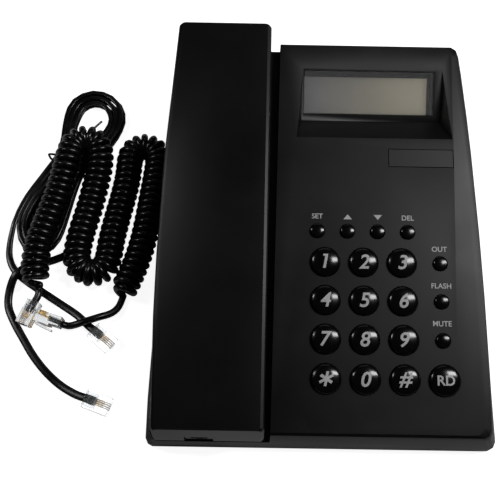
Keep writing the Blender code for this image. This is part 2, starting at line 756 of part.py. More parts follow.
def key_mesh(name, diameter, crown, sides, dome_steps):
    """A round key: domed cap, straight skirt, and a flange that stays under the panel."""
    radius = diameter / 2
    flange_top = -COVER_WALL - GAP
    flange = radius + KEY_CLEARANCE + KEY_FLANGE_OVERLAP
    profile = []
    for i in range(dome_steps + 1):
        turn = i / dome_steps * math.pi / 2
        profile.append((
            radius * math.sin(turn), KEY_EDGE_HEIGHT + (crown - KEY_EDGE_HEIGHT) * math.cos(turn)))
    profile += [(radius, flange_top), (flange, flange_top), (flange, flange_top - KEY_FLANGE_HEIGHT),
                (0.0, flange_top - KEY_FLANGE_HEIGHT)]
    return turned_mesh(name, profile, sides)


def key_table():
    """For each key: name, place across, place up the panel, diameter, crown, sides, dome steps."""
    keys = []
    names = ("1", "2", "3", "4", "5", "6", "7", "8", "9", "star", "0", "hash")
    for i, name in enumerate(names):
        u = FIRST_KEY_X + KEY_PITCH * (i % 3)
        v = first_key_v - KEY_PITCH * (i // 3)
        keys.append(("key_" + name, u, v, BIG_KEY_DIAMETER, KEY_CROWN, BIG_KEY_SIDES, 3))
    for i, name in enumerate(("out", "flash", "mute")):
        v = first_key_v - KEY_PITCH * i
        keys.append(("key_" + name, SIDE_COLUMN_X, v, SMALL_KEY_DIAMETER, SMALL_KEY_CROWN, SMALL_KEY_SIDES, 2))
    keys.append(("key_redial", SIDE_COLUMN_X, first_key_v - KEY_PITCH * (ROW_COUNT - 1),
                 REDIAL_DIAMETER, KEY_CROWN, BIG_KEY_SIDES, 3))
    for i, name in enumerate(("set", "up", "down", "delete")):
        u = TOP_ROW_X + TOP_ROW_PITCH * i
        keys.append(("key_" + name, u, top_row_v, SMALL_KEY_DIAMETER, SMALL_KEY_CROWN, SMALL_KEY_SIDES, 2))
    return keys


# Cords

def settle(route, lowest):
    """A route's points raised so that each lift becomes the height of a tube's middle."""
    return [(x, y, lift + lowest) for x, y, lift in route]


def curly_line():
    """The curly cord's whole middle line: straight tail, curls, and the tail to the other plug."""
    wire = WIRE_DIAMETER / 2
    curl_radius = (COIL_DIAMETER - WIRE_DIAMETER) / 2
    fine = even_line(CURLY_ROUTE, WIRE_DIAMETER / 16)
    lengths = run_lengths(fine)
    ahead = np.gradient(fine, axis=0)
    ahead /= np.linalg.norm(ahead, axis=1)[:, None]
    heading = np.unwrap(np.arctan2(ahead[:, 1], ahead[:, 0]))
    bend = np.abs(np.gradient(heading, lengths))
    window = round(COIL_DIAMETER / 3 / (lengths[1] - lengths[0]))
    bend = np.convolve(np.pad(bend, window, "edge"), np.ones(2 * window + 1) / (2 * window + 1), "valid")
    crowding = np.clip(BEND_EASE_SHARE * curl_radius * bend, 0.0, BEND_LIMIT_SHARE)
    reach = np.clip(lengths / lengths[-1] / LOOSE_END_SHARE, 0.0, 1.0)
    loose = 1 + (LOOSE_PITCH_SHARE - 1) * (1 - reach ** 4)
    rate = (1 - crowding) / (CURL_PITCH * loose)
    turns = np.concatenate(((0.0,), np.cumsum((rate[1:] + rate[:-1]) / 2 * np.diff(lengths))))
    count = round(turns[-1] * CURL_POINTS)
    places = np.linspace(0, turns[-1], count + 1)
    middle = np.column_stack([np.interp(places, turns, fine[:, i]) for i in range(3)])
    forward = np.column_stack([np.interp(places, turns, ahead[:, i]) for i in range(3)])
    side = np.column_stack((-forward[:, 1], forward[:, 0], np.zeros(len(places))))
    side /= np.linalg.norm(side, axis=1)[:, None]
    upward = np.cross(forward, side)
    growth = np.clip(np.minimum(places, turns[-1] - places) / CURL_RAMP, 0.0, 1.0)
    radius = curl_radius * (1 - (1 - growth) ** 2)
    middle[:, 2] += wire + radius
    phase = 2 * math.pi * places + CURL_START
    curls = middle + radius[:, None] * (
        np.cos(phase)[:, None] * side + np.sin(phase)[:, None] * upward)
    start = even_line(settle(CURLY_TAIL_IN, wire) + [tuple(curls[0])], WIRE_DIAMETER)
    finish = even_line([tuple(curls[-1])] + settle(CURLY_TAIL_OUT, wire), WIRE_DIAMETER)
    print("curls", round(float(turns[-1]), 1), "points", len(start) + len(curls) + len(finish) - 2)
    return np.vstack((start[:-1], curls, finish[1:]))


def hank_line():
    """The hank: loops that spiral in on the lower layer, climb, and spiral out on the upper one."""
    loop = smooth_line(HANK_ROUTE, 16, closed=True)
    loop = np.vstack((loop, loop[:1]))
    lengths = run_lengths(loop)
    spiral_turns = (HANK_TURNS - HANK_CLIMB_TURNS) / 2
    outer = spiral_turns * LANE_STEP / 2
    count = round(HANK_TURNS * HANK_LOOP_POINTS)
    points = []
    for turn in np.linspace(0, HANK_TURNS, count + 1):
        climb = min(max((turn - spiral_turns) / HANK_CLIMB_TURNS, 0.0), 1.0)
        lane = outer - LANE_STEP * min(turn, spiral_turns)
        lane += LANE_STEP * max(0.0, turn - spiral_turns - HANK_CLIMB_TURNS)
        place_along = (turn % 1.0) * lengths[-1]
        here = along(loop, lengths, [place_along])[0]
        there = along(loop, lengths, [(place_along + LANE_STEP) % lengths[-1]])[0]
        back = along(loop, lengths, [(place_along - LANE_STEP) % lengths[-1]])[0]
        ahead = (there - back) / np.linalg.norm(there - back)
        x = here[0] + ahead[1] * lane
        y = here[1] - ahead[0] * lane
        lift = TIE_LIFT * math.exp(-((here[1] - WAIST_Y) / WAIST_REACH) ** 2)
        points.append((x, y, LINE_DIAMETER / 2 + lift + climb * LANE_STEP))
    return np.array(points)


def lead_line(hank_end, hank_before, route):
    """A lead that carries on from a hank's end, face to face, and runs to a plug."""
    ahead = (hank_end - hank_before) / np.linalg.norm(hank_end - hank_before)
    start = hank_end + ahead * GAP
    points = [tuple(start), tuple(start + ahead * LINE_DIAMETER)]
    points += settle(route, LINE_DIAMETER / 2)
    return even_line(points, 2 * LINE_DIAMETER)


def tie_line():
    """The twist tie: one end, once round the hank's waist, and the other end."""
    radius = TIE_DIAMETER / 2
    low = radius + GAP / 2
    high = TIE_LIFT + LINE_DIAMETER + LANE_STEP + radius + GAP
    across = Vector((math.cos(TIE_TURN), math.sin(TIE_TURN), 0.0))
    middle = Vector((TIE_X, TIE_Y, (low + high) / 2))
    points = list(TIE_ROUTE_TAIL)
    for i in range(TIE_POINTS + 1):
        share = i / TIE_POINTS
        turn = TIE_START + TIE_SWEEP * share
        reach = math.copysign(abs(math.cos(turn)) ** TIE_CORNER_SHARE, math.cos(turn))
        rise = math.copysign(abs(math.sin(turn)) ** TIE_CORNER_SHARE, math.sin(turn))
        rise_point = Vector((0, 0, (high - low) / 2 * rise))
        points.append(tuple(middle + across * TIE_HALF_SPAN * reach + rise_point))
    points += TIE_ROUTE_END
    return np.array(points)


def plug_mesh(name, width):
    """A modular plug along +X: neck at x 0 where the cord enters, contacts at the far end."""
    body = box_mesh(name, (PLUG_NECK_LENGTH, -width / 2, -PLUG_HEIGHT / 2),
                    (PLUG_LENGTH, width / 2, PLUG_HEIGHT / 2))
    neck = box_mesh(name, (0.0, -width / 2, -PLUG_HEIGHT / 2),
                    (PLUG_NECK_LENGTH + GAP, width / 2, PLUG_HEIGHT / 2 - PLUG_NECK_DROP))
    low = PLUG_HEIGHT / 2
    corners = (
        (PLUG_LENGTH - PLUG_LATCH_HEIGHT / 2, low - GAP),
        (PLUG_LENGTH - PLUG_LATCH_HEIGHT / 2, low + PLUG_LATCH_HEIGHT),
        (PLUG_LENGTH - PLUG_LATCH_LENGTH, low + PLUG_LATCH_RISE + PLUG_LATCH_HEIGHT),
        (PLUG_LENGTH - PLUG_LATCH_LENGTH, low + PLUG_LATCH_RISE),
        (PLUG_LENGTH - PLUG_LATCH_HEIGHT * 2, low + GAP),
        (PLUG_LENGTH - PLUG_LATCH_HEIGHT * 2, low - GAP),
    )
    half = PLUG_LATCH_WIDTH / 2
    latch = loft_mesh(name, [[(x, y, z) for x, z in corners] for y in (-half, half)])
    holders = [place(name + suffix, mesh, cutters)
               for suffix, mesh in (("_body", body), ("_neck", neck), ("_latch", latch))]
    combine(holders[0], holders[1], "UNION")
    combine(holders[0], holders[2], "UNION")
    bpy.context.view_layer.update()
    evaluated = holders[0].evaluated_get(bpy.context.evaluated_depsgraph_get())
    result = bpy.data.meshes.new_from_object(evaluated)
    for thing in holders:
        bpy.data.objects.remove(thing)
    return result


def add_plug(name, width, line, roll):
    """A plug on the end of a cord's line, turned about the cord by roll."""
    ahead = Vector(line[-1] - line[-2])
    ahead.z = 0.0
    ahead.normalize()
    location = Vector(line[-1]) + ahead * GAP
    rotation = (roll, 0.0, math.atan2(ahead.y, ahead.x))
    return add_part(name, plug_mesh(name, width), "clear", location=location, rotation=rotation)


# Assembly

def case_screw_places():
    places = []
    for x in (-CASE_SCREW_X, CASE_SCREW_X):
        for y in (case_screw_front_y, case_screw_back_y):
            places.append((x, y, CASE_BOTTOM))
    return places


def handset_screw_places():
    return [(handset_middle(y), y, handset_bottom(y)) for y in (-handset_screw_y, handset_screw_y)]


def skin_height(x, y):
    """Height of the middle of the cover's wall above a case screw."""
    if x < 0:
        return handset_bottom(y) - CRADLE_GAP - COVER_WALL / 2
    return panel_height(y) - COVER_WALL / 2


def side_reach(y):
    """Half of the base's width at its seam, at one place along it."""
    shares = np.array(SIDE_SHARES)
    width_share = np.interp(y / half_length, shares[:, 0], shares[:, 1])
    return float(width_share) * (BASE_WIDTH / 2 - SIDE_FLARE)


def jack_slots():
    """Cutters for the two sockets in the base's walls."""
    wide = JACK_WIDTH / 2 + GAP
    low = JACK_LIFT - GAP
    high = JACK_LIFT + JACK_HEIGHT + GAP
    line = add_cutter("line_jack_slot", box_mesh(
        "line_jack_slot", (LINE_JACK_X - wide, half_length - JACK_LENGTH, low),
        (LINE_JACK_X + wide, half_length + OVERRUN, high)))
    side = add_cutter("side_jack_slot", box_mesh(
        "side_jack_slot", (-BASE_WIDTH / 2 - OVERRUN, BASE_JACK_Y - wide, low),
        (-BASE_WIDTH / 2 + JACK_LENGTH, BASE_JACK_Y + wide, high)))
    return line, side


def build_cover(screw_cutter, slots):
    outer = loft_mesh("base_upper_cover", cover_rings(0.0, 0.0, SEAM_HEIGHT))
    cover = add_part("base_upper_cover", outer, "case")

    cavity = add_cutter("cover_cavity", loft_mesh(
        "cover_cavity", cover_rings(COVER_WALL, COVER_WALL, SEAM_HEIGHT - OVERRUN)))
    combine(cavity, cradle_block("deck_underside", DECK_DROP + COVER_WALL, -COVER_WALL))
    combine(cavity, add_cutter("cup_underside", handset_solid(
        "cup_underside", CRADLE_GAP + COVER_WALL)))
    combine(cavity, display_wedge("display_underside", COVER_WALL, 0.0))
    combine(cavity, window_box("window_tube", WINDOW_TUBE_WALL, WINDOW_TUBE_DEPTH, 0.0))

    combine(cover, cradle_block("deck", DECK_DROP, 0.0))
    combine(cover, add_cutter("cradle_cups", handset_solid("cradle_cups", CRADLE_GAP)))
    combine(cover, display_wedge("display_recess", 0.0, -OVERRUN))
    combine(cover, plate_recess())
    combine(cover, cavity)
    bosses = bmesh.new()
    for x, y, surface in case_screw_places():
        low = surface + PILLAR_HEIGHT + GAP
        high = skin_height(x, y)
        shift = Matrix.Translation((x, y, (low + high) / 2))
        bmesh.ops.create_cone(
            bosses, cap_ends=True, segments=12, radius1=BOSS_DIAMETER / 2,
            radius2=BOSS_DIAMETER / 2, depth=high - low, matrix=shift)
    combine(cover, add_cutter("cover_bosses", finish_mesh("cover_bosses", bosses)), "UNION")
    combine(cover, window_box("window_hole", 0.0, WINDOW_TUBE_DEPTH + OVERRUN, OVERRUN))
    combine(cover, key_holes())
    combine(cover, screw_cutter)
    combine(cover, add_cutter("plunger_hole", box_mesh(
        "plunger_hole",
        (PLUNGER_X - PLUNGER_WIDTH / 2 - GAP, plunger_y - PLUNGER_DEPTH / 2 - GAP, SEAM_HEIGHT),
        (PLUNGER_X + PLUNGER_WIDTH / 2 + GAP, plunger_y + PLUNGER_DEPTH / 2 + GAP, HANDSET_BACK_TOP))))
    for slot in slots:
        combine(cover, slot)
    return cover


def window_box(name, grow, depth, above):
    """A box round the display window, square to its sunk frame."""
    mesh = box_mesh(
        name, (WINDOW_LEFT_X - grow, -WINDOW_TOP_MARGIN - WINDOW_HEIGHT - grow, -depth),
        (WINDOW_RIGHT_X + grow, -WINDOW_TOP_MARGIN + grow, above))
    return add_cutter(name, mesh, parent=display_frame)


def plate_recess():
    wide = PLATE_WIDTH / 2
    tall = PLATE_HEIGHT / 2
    return add_cutter("plate_recess", box_mesh(
        "plate_recess", (PLATE_X - wide, plate_v - tall, -PLATE_DEPTH),
        (PLATE_X + wide, plate_v + tall, OVERRUN)), parent=panel_frame)


def key_holes():
    builder = bmesh.new()
    depth = 2 * OVERRUN
    for name, u, v, diameter, crown, sides, steps in key_table():
        radius = diameter / 2 + KEY_CLEARANCE
        bmesh.ops.create_cone(
            builder, cap_ends=True, segments=sides, radius1=radius, radius2=radius,
            depth=depth, matrix=Matrix.Translation((u, v, 0.0)))
    return add_cutter("key_holes", finish_mesh("key_holes", builder), parent=panel_frame)


def build_keys():
    shapes = {}
    for name, u, v, diameter, crown, sides, steps in key_table():
        shape = shapes.get(diameter)
        if shape is None:
            shape = key_mesh(name, diameter, crown, sides, steps)
            shapes[diameter] = shape
        add_part(name, shape.copy(), "key", parent=panel_frame, location=(u, v, 0.0))


def keypad_extent(margin):
    """Left, right, front and back of the sheet under all the keys."""
    reach = BIG_KEY_DIAMETER / 2 + KEY_CLEARANCE + KEY_FLANGE_OVERLAP + margin
    small = SMALL_KEY_DIAMETER / 2 + KEY_CLEARANCE + KEY_FLANGE_OVERLAP + margin
    left = FIRST_KEY_X - reach
    right = SIDE_COLUMN_X + reach
    front = first_key_v - (ROW_COUNT - 1) * KEY_PITCH - reach
    return left, right, front, top_row_v + small


def build_keypad_layers():
    """The rubber membrane and the circuit board under the keys; returns the board's underside depth."""
    top = COVER_WALL + 2 * GAP + KEY_FLANGE_HEIGHT + KEY_TRAVEL
    left, right, front, back = keypad_extent(0.0)
    add_part("keypad_membrane", box_mesh(
        "keypad_membrane", (left, front, -top - MEMBRANE_HEIGHT), (right, back, -top)),
        "rubber", parent=panel_frame)
    board_top = top + MEMBRANE_HEIGHT + GAP
    board_low = board_top + BOARD_HEIGHT
    add_part("main_circuit_board", box_mesh(
        "main_circuit_board", (left, front, -board_low), (right, back + BOARD_MARGIN, -board_top)),
        "board", parent=panel_frame)
    return board_low


def build_lower_case(board_low, screw_cutter, slots):
    side = BASE_WIDTH / 2
    round_over = CASE_BOTTOM / 2
    top = SEAM_HEIGHT - GAP

    def ring(inset, height, flare=0.0):
        return case_ring(side - inset - flare, -half_length + inset, half_length - inset,
                         lambda y: height)

    outer = loft_mesh("base_lower_case", [
        ring(round_over, CASE_BOTTOM), ring(0.0, CASE_BOTTOM + round_over),
        ring(0.0, top, SIDE_FLARE)])
    case = add_part("base_lower_case", outer, "case")
    floor = CASE_BOTTOM + CASE_FLOOR
    combine(case, add_cutter("case_cavity", loft_mesh("case_cavity", [
        ring(CASE_WALL + round_over, floor), ring(CASE_WALL, top, SIDE_FLARE),
        ring(CASE_WALL, top + OVERRUN, SIDE_FLARE)])))
    pillars = bmesh.new()
    stands = [(x, y, PILLAR_DIAMETER, surface + PILLAR_HEIGHT) for x, y, surface in case_screw_places()]
    left, right, front, back = keypad_extent(-BOARD_PILLAR_DIAMETER)
    for u in (left, right):
        for v in (front, back):
            place_there = panel_point(u, v, board_low)
            lean = BOARD_PILLAR_DIAMETER / 2 * math.tan(panel_slope)
            stands.append((u, place_there.y, BOARD_PILLAR_DIAMETER, place_there.z - lean - GAP))
    stands.append((PLUNGER_X, plunger_y, BOARD_PILLAR_DIAMETER, switch_bottom() - GAP))
    for x, y, diameter, high in stands:
        low = CASE_BOTTOM + CASE_FLOOR / 2
        bmesh.ops.create_cone(
            pillars, cap_ends=True, segments=12, radius1=diameter / 2, radius2=diameter / 2,
            depth=high - low, matrix=Matrix.Translation((x, y, (low + high) / 2)))
    combine(case, add_cutter("case_pillars", finish_mesh("case_pillars", pillars)), "UNION")
    combine(case, screw_cutter)
    combine(case, add_cutter("foot_recesses", disc_mesh(
        "foot_recesses", FOOT_DIAMETER + 2 * GAP, CASE_BOTTOM - OVERRUN, CASE_BOTTOM + FOOT_RECESS,
        16, [(x, y) for x in (-FOOT_X, FOOT_X) for y in (-foot_y, foot_y)])))
    for slot in slots:
        combine(case, slot)


def switch_bottom():
    """Height of the hook switch's underside, found from the cup above it."""
    cup = handset_bottom(plunger_y) - CRADLE_GAP - COVER_WALL
    lean = PLUNGER_WIDTH / 2 * math.tan(handset_slope)
    flange_top = cup - lean - PLUNGER_TRAVEL - GAP
    return flange_top - PLUNGER_FLANGE_HEIGHT - GAP - HOOK_SWITCH_HEIGHT


def build_hook_switch():
    low = switch_bottom()
    high = low + HOOK_SWITCH_HEIGHT
    add_part("hook_switch", box_mesh(
        "hook_switch", (PLUNGER_X - HOOK_SWITCH_WIDTH / 2, plunger_y - HOOK_SWITCH_DEPTH / 2, low),
        (PLUNGER_X + HOOK_SWITCH_WIDTH / 2, plunger_y + HOOK_SWITCH_DEPTH / 2, high)), "dark")
    foot = high + GAP
    tip = handset_bottom(plunger_y - PLUNGER_DEPTH / 2) - GAP
    half = PLUNGER_WIDTH / 2
    deep = PLUNGER_DEPTH / 2
    outline = (
        (-half - PLUNGER_FLANGE, foot), (half + PLUNGER_FLANGE, foot),
        (half + PLUNGER_FLANGE, foot + PLUNGER_FLANGE_HEIGHT), (half, foot + PLUNGER_FLANGE_HEIGHT),
        (half, tip), (-half, tip),
        (-half, foot + PLUNGER_FLANGE_HEIGHT), (-half - PLUNGER_FLANGE, foot + PLUNGER_FLANGE_HEIGHT),
    )
    rings = [[(x, y, z - foot) for x, z in outline] for y in (-deep, deep)]
    add_part("hook_plunger", loft_mesh("hook_plunger", rings), "key",
             location=(PLUNGER_X, plunger_y, foot))


def build_display():
    add_part("display_window", box_mesh(
        "display_window",
        (WINDOW_LEFT_X + GAP, -WINDOW_TOP_MARGIN - WINDOW_HEIGHT + GAP, -WINDOW_THICKNESS - GAP),
        (WINDOW_RIGHT_X - GAP, -WINDOW_TOP_MARGIN - GAP, -GAP)), "clear", parent=display_frame)
    top = -WINDOW_TUBE_DEPTH - GAP
    add_part("lcd_panel", box_mesh(
        "lcd_panel",
        (WINDOW_LEFT_X - WINDOW_TUBE_WALL, -WINDOW_TOP_MARGIN - WINDOW_HEIGHT - WINDOW_TUBE_WALL,
         top - LCD_THICKNESS),
        (WINDOW_RIGHT_X + WINDOW_TUBE_WALL, -WINDOW_TOP_MARGIN + WINDOW_TUBE_WALL, top)),
        "lcd", parent=display_frame)
    wide = PLATE_WIDTH / 2 - PLATE_GROOVE
    tall = PLATE_HEIGHT / 2 - PLATE_GROOVE
    add_part("name_plate", box_mesh(
        "name_plate", (PLATE_X - wide, plate_v - tall, -PLATE_DEPTH + GAP),
        (PLATE_X + wide, plate_v + tall, 0.0)), "dark", parent=panel_frame)


def build_base_fittings():
    for x, y, surface in case_screw_places():
        side = "left" if x < 0 else "right"
        end = "front" if y < 0 else "back"
        add_screw("case_screw_" + end + "_" + side, x, y, surface)
    for x in (-FOOT_X, FOOT_X):
        for y in (-foot_y, foot_y):
            side = "left" if x < 0 else "right"
            end = "front" if y < 0 else "back"
            name = "foot_" + end + "_" + side
            foot = disc_mesh(name, FOOT_DIAMETER, 0.0, FOOT_HEIGHT, 16)
            smooth(foot)
            add_part(name, foot, "rubber", location=(x, y, 0.0))
    middle = JACK_LIFT + JACK_HEIGHT / 2
    add_part("line_jack", jack_mesh("line_jack", LINE_SOCKET_WIDTH), "dark",
             location=(LINE_JACK_X, half_length - JACK_RECESS, middle), rotation=(0, 0, math.pi))
    add_part("handset_jack", jack_mesh("handset_jack", HANDSET_SOCKET_WIDTH), "dark",
             location=(-side_reach(BASE_JACK_Y) + JACK_RECESS, BASE_JACK_Y, middle),
             rotation=(0, 0, -math.pi / 2))
    floor = CASE_BOTTOM + CASE_FLOOR + GAP
    ringer = disc_mesh("ringer", RINGER_DIAMETER, floor, floor + RINGER_HEIGHT, 20)
    smooth(ringer)
    add_part("ringer", ringer, "dark", location=(RINGER_X, RINGER_Y, 0.0))


def build_handset():
    upper = add_part("handset_upper_shell", handset_solid("handset_upper_shell", 0.0), "case")
    lower = add_part("handset_lower_shell", handset_solid("handset_lower_shell", 0.0), "case")
    cavity = add_cutter("handset_cavity", handset_solid("handset_cavity", -HANDSET_WALL))
    screws = screw_holes("handset_screw_holes", handset_screw_places())
    bosses = bmesh.new()
    pillars = bmesh.new()
    for x, y, surface in handset_screw_places():
        split = surface + HANDSET_PILLAR_HEIGHT
        for builder, diameter, low, high in (
                (pillars, PILLAR_DIAMETER, surface + HANDSET_WALL / 2, split),
                (bosses, BOSS_DIAMETER, split + GAP, handset_top(y) - HANDSET_WALL / 2)):
            bmesh.ops.create_cone(
                builder, cap_ends=True, segments=12, radius1=diameter / 2, radius2=diameter / 2,
                depth=high - low, matrix=Matrix.Translation((x, y, (low + high) / 2)))
    face = -handset_length / 2 + HANDSET_FRONT_RUN / 2
    jack_z = handset_top(-handset_length / 2) - HANDSET_PARTING
    wide = JACK_WIDTH / 2 + GAP
    tall = JACK_HEIGHT / 2 + GAP
    notch = add_cutter("handset_jack_slot", box_mesh(
        "handset_jack_slot", (HANDSET_JACK_X - wide, -handset_length / 2 - OVERRUN, jack_z - tall),
        (HANDSET_JACK_X + wide, face + JACK_LENGTH / 2, jack_z + tall)))
    combine(upper, cavity)
    combine(upper, parting_block("below_parting", -1))
    combine(upper, add_cutter("handset_bosses", finish_mesh("handset_bosses", bosses)), "UNION")
    combine(upper, screws)
    combine(upper, notch)
    combine(lower, cavity)
    combine(lower, parting_block("above_parting", 1))
    combine(lower, add_cutter("handset_pillars", finish_mesh("handset_pillars", pillars)), "UNION")
    combine(lower, screws)
    combine(lower, notch)
    combine(lower, sound_holes())

    add_part("handset_socket", jack_mesh("handset_socket", HANDSET_SOCKET_WIDTH), "dark",
             location=(HANDSET_JACK_X, face, jack_z))
    for name, (x, y, surface) in zip(("handset_screw_front", "handset_screw_back"), handset_screw_places()):
        add_screw(name, x, y, surface)
    for name, y, diameter, height in (
            ("receiver_capsule", receiver_y, RECEIVER_DIAMETER, RECEIVER_HEIGHT),
            ("microphone_capsule", microphone_y, MICROPHONE_DIAMETER, MICROPHONE_HEIGHT)):
        capsule = disc_mesh(name, diameter, GAP, GAP + height, 20)
        smooth(capsule)
        add_part(name, capsule, "dark", rotation=(handset_slope, 0, 0),
                 location=(handset_middle(y), y, handset_bottom(y) + HANDSET_WALL))


def sound_holes():
    """Small holes through the handset's underside at the receiver and the microphone."""
    receiver_x = handset_middle(receiver_y)
    spots = [(receiver_x, receiver_y), (handset_middle(microphone_y), microphone_y)]
    for i in range(SOUND_RING_COUNT):
        turn = 2 * math.pi * i / SOUND_RING_COUNT
        spots.append((receiver_x + SOUND_RING_RADIUS * math.cos(turn),
                      receiver_y + SOUND_RING_RADIUS * math.sin(turn)))
    builder = bmesh.new()
    for x, y in spots:
        high = handset_bottom(y) + HANDSET_WALL + OVERRUN / 2
        low = handset_bottom(y) - OVERRUN
        bmesh.ops.create_cone(
            builder, cap_ends=True, segments=8, radius1=SOUND_HOLE_DIAMETER / 2,
            radius2=SOUND_HOLE_DIAMETER / 2, depth=high - low,
            matrix=Matrix.Translation((x, y, (low + high) / 2)))
    return add_cutter("sound_holes", finish_mesh("sound_holes", builder))


def build_cords():
    curly = curly_line()
    print("curly cord: length", round(float(run_lengths(curly)[-1]), 3),
          "least gap", round(float(least_gap(curly, WIRE_DIAMETER, COIL_DIAMETER)), 5))
    add_part("handset_cord", tube_mesh("handset_cord", curly, WIRE_DIAMETER, 1), "cord")
    add_plug("handset_plug_far", HANDSET_PLUG_WIDTH, curly[1::-1], PLUG_A_ROLL)
    add_plug("handset_plug_near", HANDSET_PLUG_WIDTH, curly, PLUG_B_ROLL)

    hank = hank_line()
    print("hank: length", round(float(run_lengths(hank)[-1]), 3),
          "least gap", round(float(least_gap(hank, LINE_DIAMETER, COIL_DIAMETER)), 5))
    add_part("line_cord_hank", tube_mesh("line_cord_hank", hank, LINE_DIAMETER, 1), "cord")
    lead_a = lead_line(hank[-1], hank[-2], LEAD_A_ROUTE)
    lead_b = lead_line(hank[0], hank[1], LEAD_B_ROUTE)
    for name, line in (("line_cord_lead_short", lead_a), ("line_cord_lead_long", lead_b)):
        print(name, "length", round(float(run_lengths(line)[-1]), 3), "points", len(line))
        add_part(name, tube_mesh(name, line, LINE_DIAMETER, 2), "cord")
    add_plug("line_plug_short", LINE_PLUG_WIDTH, lead_a, PLUG_A_ROLL)
    add_plug("line_plug_long", LINE_PLUG_WIDTH, lead_b, PLUG_A_ROLL)
    add_part("cord_tie", tube_mesh("cord_tie", tie_line(), TIE_DIAMETER, 1), "cord")


clear_scene()
parts = new_collection("corded_telephone")
cutters = new_collection("cutters")
panel_frame = place("panel_frame", None, parts, location=(0, 0, panel_middle),
                    rotation=(panel_slope, 0, 0))
bench_slope = math.atan2(DISPLAY_DEPTH, display_top_v - display_foot_v)
display_frame = place("display_frame", None, parts, parent=panel_frame,
                      location=(0, display_top_v, 0), rotation=(bench_slope, 0, 0))
base_screw_holes = screw_holes("case_screw_holes", case_screw_places())
base_slots = jack_slots()
build_cover(base_screw_holes, base_slots)
build_lower_case(build_keypad_layers(), base_screw_holes, base_slots)
build_hook_switch()
build_display()
build_keys()
build_base_fittings()
build_handset()
build_cords()
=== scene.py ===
# Corded desk telephone: the finishes, lettering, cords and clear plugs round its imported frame
import math

import bmesh
import bpy
import numpy as np
from mathutils import Matrix, Vector


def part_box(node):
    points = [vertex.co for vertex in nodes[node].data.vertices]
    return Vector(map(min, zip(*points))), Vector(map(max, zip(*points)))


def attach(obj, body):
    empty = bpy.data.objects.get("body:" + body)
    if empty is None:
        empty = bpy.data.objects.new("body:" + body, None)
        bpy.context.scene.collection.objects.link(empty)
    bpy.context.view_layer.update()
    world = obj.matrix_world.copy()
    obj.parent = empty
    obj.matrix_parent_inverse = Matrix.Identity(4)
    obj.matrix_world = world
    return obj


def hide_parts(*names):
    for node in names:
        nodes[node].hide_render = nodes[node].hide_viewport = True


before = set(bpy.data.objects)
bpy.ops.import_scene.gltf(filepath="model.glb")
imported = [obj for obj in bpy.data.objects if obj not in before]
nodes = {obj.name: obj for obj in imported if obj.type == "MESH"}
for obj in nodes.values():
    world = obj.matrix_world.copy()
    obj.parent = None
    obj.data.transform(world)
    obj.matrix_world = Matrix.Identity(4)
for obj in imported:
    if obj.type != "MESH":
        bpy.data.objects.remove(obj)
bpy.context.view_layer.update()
print("frame loaded:", len(nodes), "nodes")

mm = 0.001
fullTurn = 2 * math.pi
weld = {"tight": 0.001 * mm, "usual": 0.002 * mm, "cord": 0.005 * mm}

# Places that the frame gives

panel = {"frontHeight": 23.0 * mm, "backHeight": 57.4 * mm, "length": 208 * mm}
panelSlope = math.atan2(panel["backHeight"] - panel["frontHeight"], panel["length"])
panelMiddle = (panel["frontHeight"] + panel["backHeight"]) / 2
panelPlace = Matrix.Translation((0, 0, panelMiddle)) @ Matrix.Rotation(panelSlope, 4, "X")

camera = {
    "place": (-38.5 * mm, -141.6 * mm, 377.9 * mm),
    "pitch": 21.19, "roll": 0.88, "yaw": -0.24,
    "lens": 51.47, "sensor": 36.0, "near": 0.01, "far": 20,
}


def addCamera():
    data = bpy.data.cameras.new("camera")
    data.lens = camera["lens"]
    data.sensor_width = camera["sensor"]
    data.clip_start = camera["near"]
    data.clip_end = camera["far"]
    eye = bpy.data.objects.new("camera", data)
    turn = Matrix.Rotation(math.radians(camera["yaw"]), 4, "Y")
    turn = turn @ Matrix.Rotation(math.radians(camera["pitch"]), 4, "X")
    turn = turn @ Matrix.Rotation(math.radians(camera["roll"]), 4, "Z")
    eye.matrix_world = Matrix.Translation(camera["place"]) @ turn
    bpy.context.scene.collection.objects.link(eye)
    bpy.context.scene.camera = eye


addCamera()

# Small helpers


def addPiece(name, data, body="base", replaced=()):
    piece = bpy.data.objects.new(name, data)
    bpy.context.scene.collection.objects.link(piece)
    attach(piece, body)
    if replaced:
        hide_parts(*replaced)
    return piece


def shadeSmooth(mesh, angle=32):
    mesh.shade_smooth()
    mesh.set_sharp_from_angle(angle=math.radians(angle))


def toMesh(name, bm, material, place=Matrix.Identity(4), angle=32):
    bm.transform(place)
    mesh = bpy.data.meshes.new(name)
    bm.to_mesh(mesh)
    bm.free()
    shadeSmooth(mesh, angle)
    mesh.materials.append(material)
    return mesh


def addBlock(bm, low, high):
    made = bmesh.ops.create_cube(bm, size=1.0)["verts"]
    low, high = Vector(low), Vector(high)
    bmesh.ops.scale(bm, vec=high - low, verts=made)
    bmesh.ops.translate(bm, vec=(low + high) / 2, verts=made)
    return made


def applied(piece):
    bpy.context.view_layer.update()
    shown = piece.evaluated_get(bpy.context.evaluated_depsgraph_get())
    return bpy.data.meshes.new_from_object(shown)


def addRounding(piece, width, segments, angle):
    rounding = piece.modifiers.new("edges", "BEVEL")
    rounding.width = width
    rounding.segments = segments
    rounding.limit_method = "ANGLE"
    rounding.angle_limit = math.radians(angle)
    rounding.use_clamp_overlap = True
    return rounding


# Finishes


def newFinish(name, colour, rough, specular=0.5, metal=0.0):
    finish = bpy.data.materials.new(name)
    finish.use_nodes = True
    shader = finish.node_tree.nodes["Principled BSDF"]
    shader.inputs["Base Color"].default_value = (*colour, 1)
    shader.inputs["Roughness"].default_value = rough
    shader.inputs["Specular IOR Level"].default_value = specular
    shader.inputs["Metallic"].default_value = metal
    return finish, finish.node_tree, shader


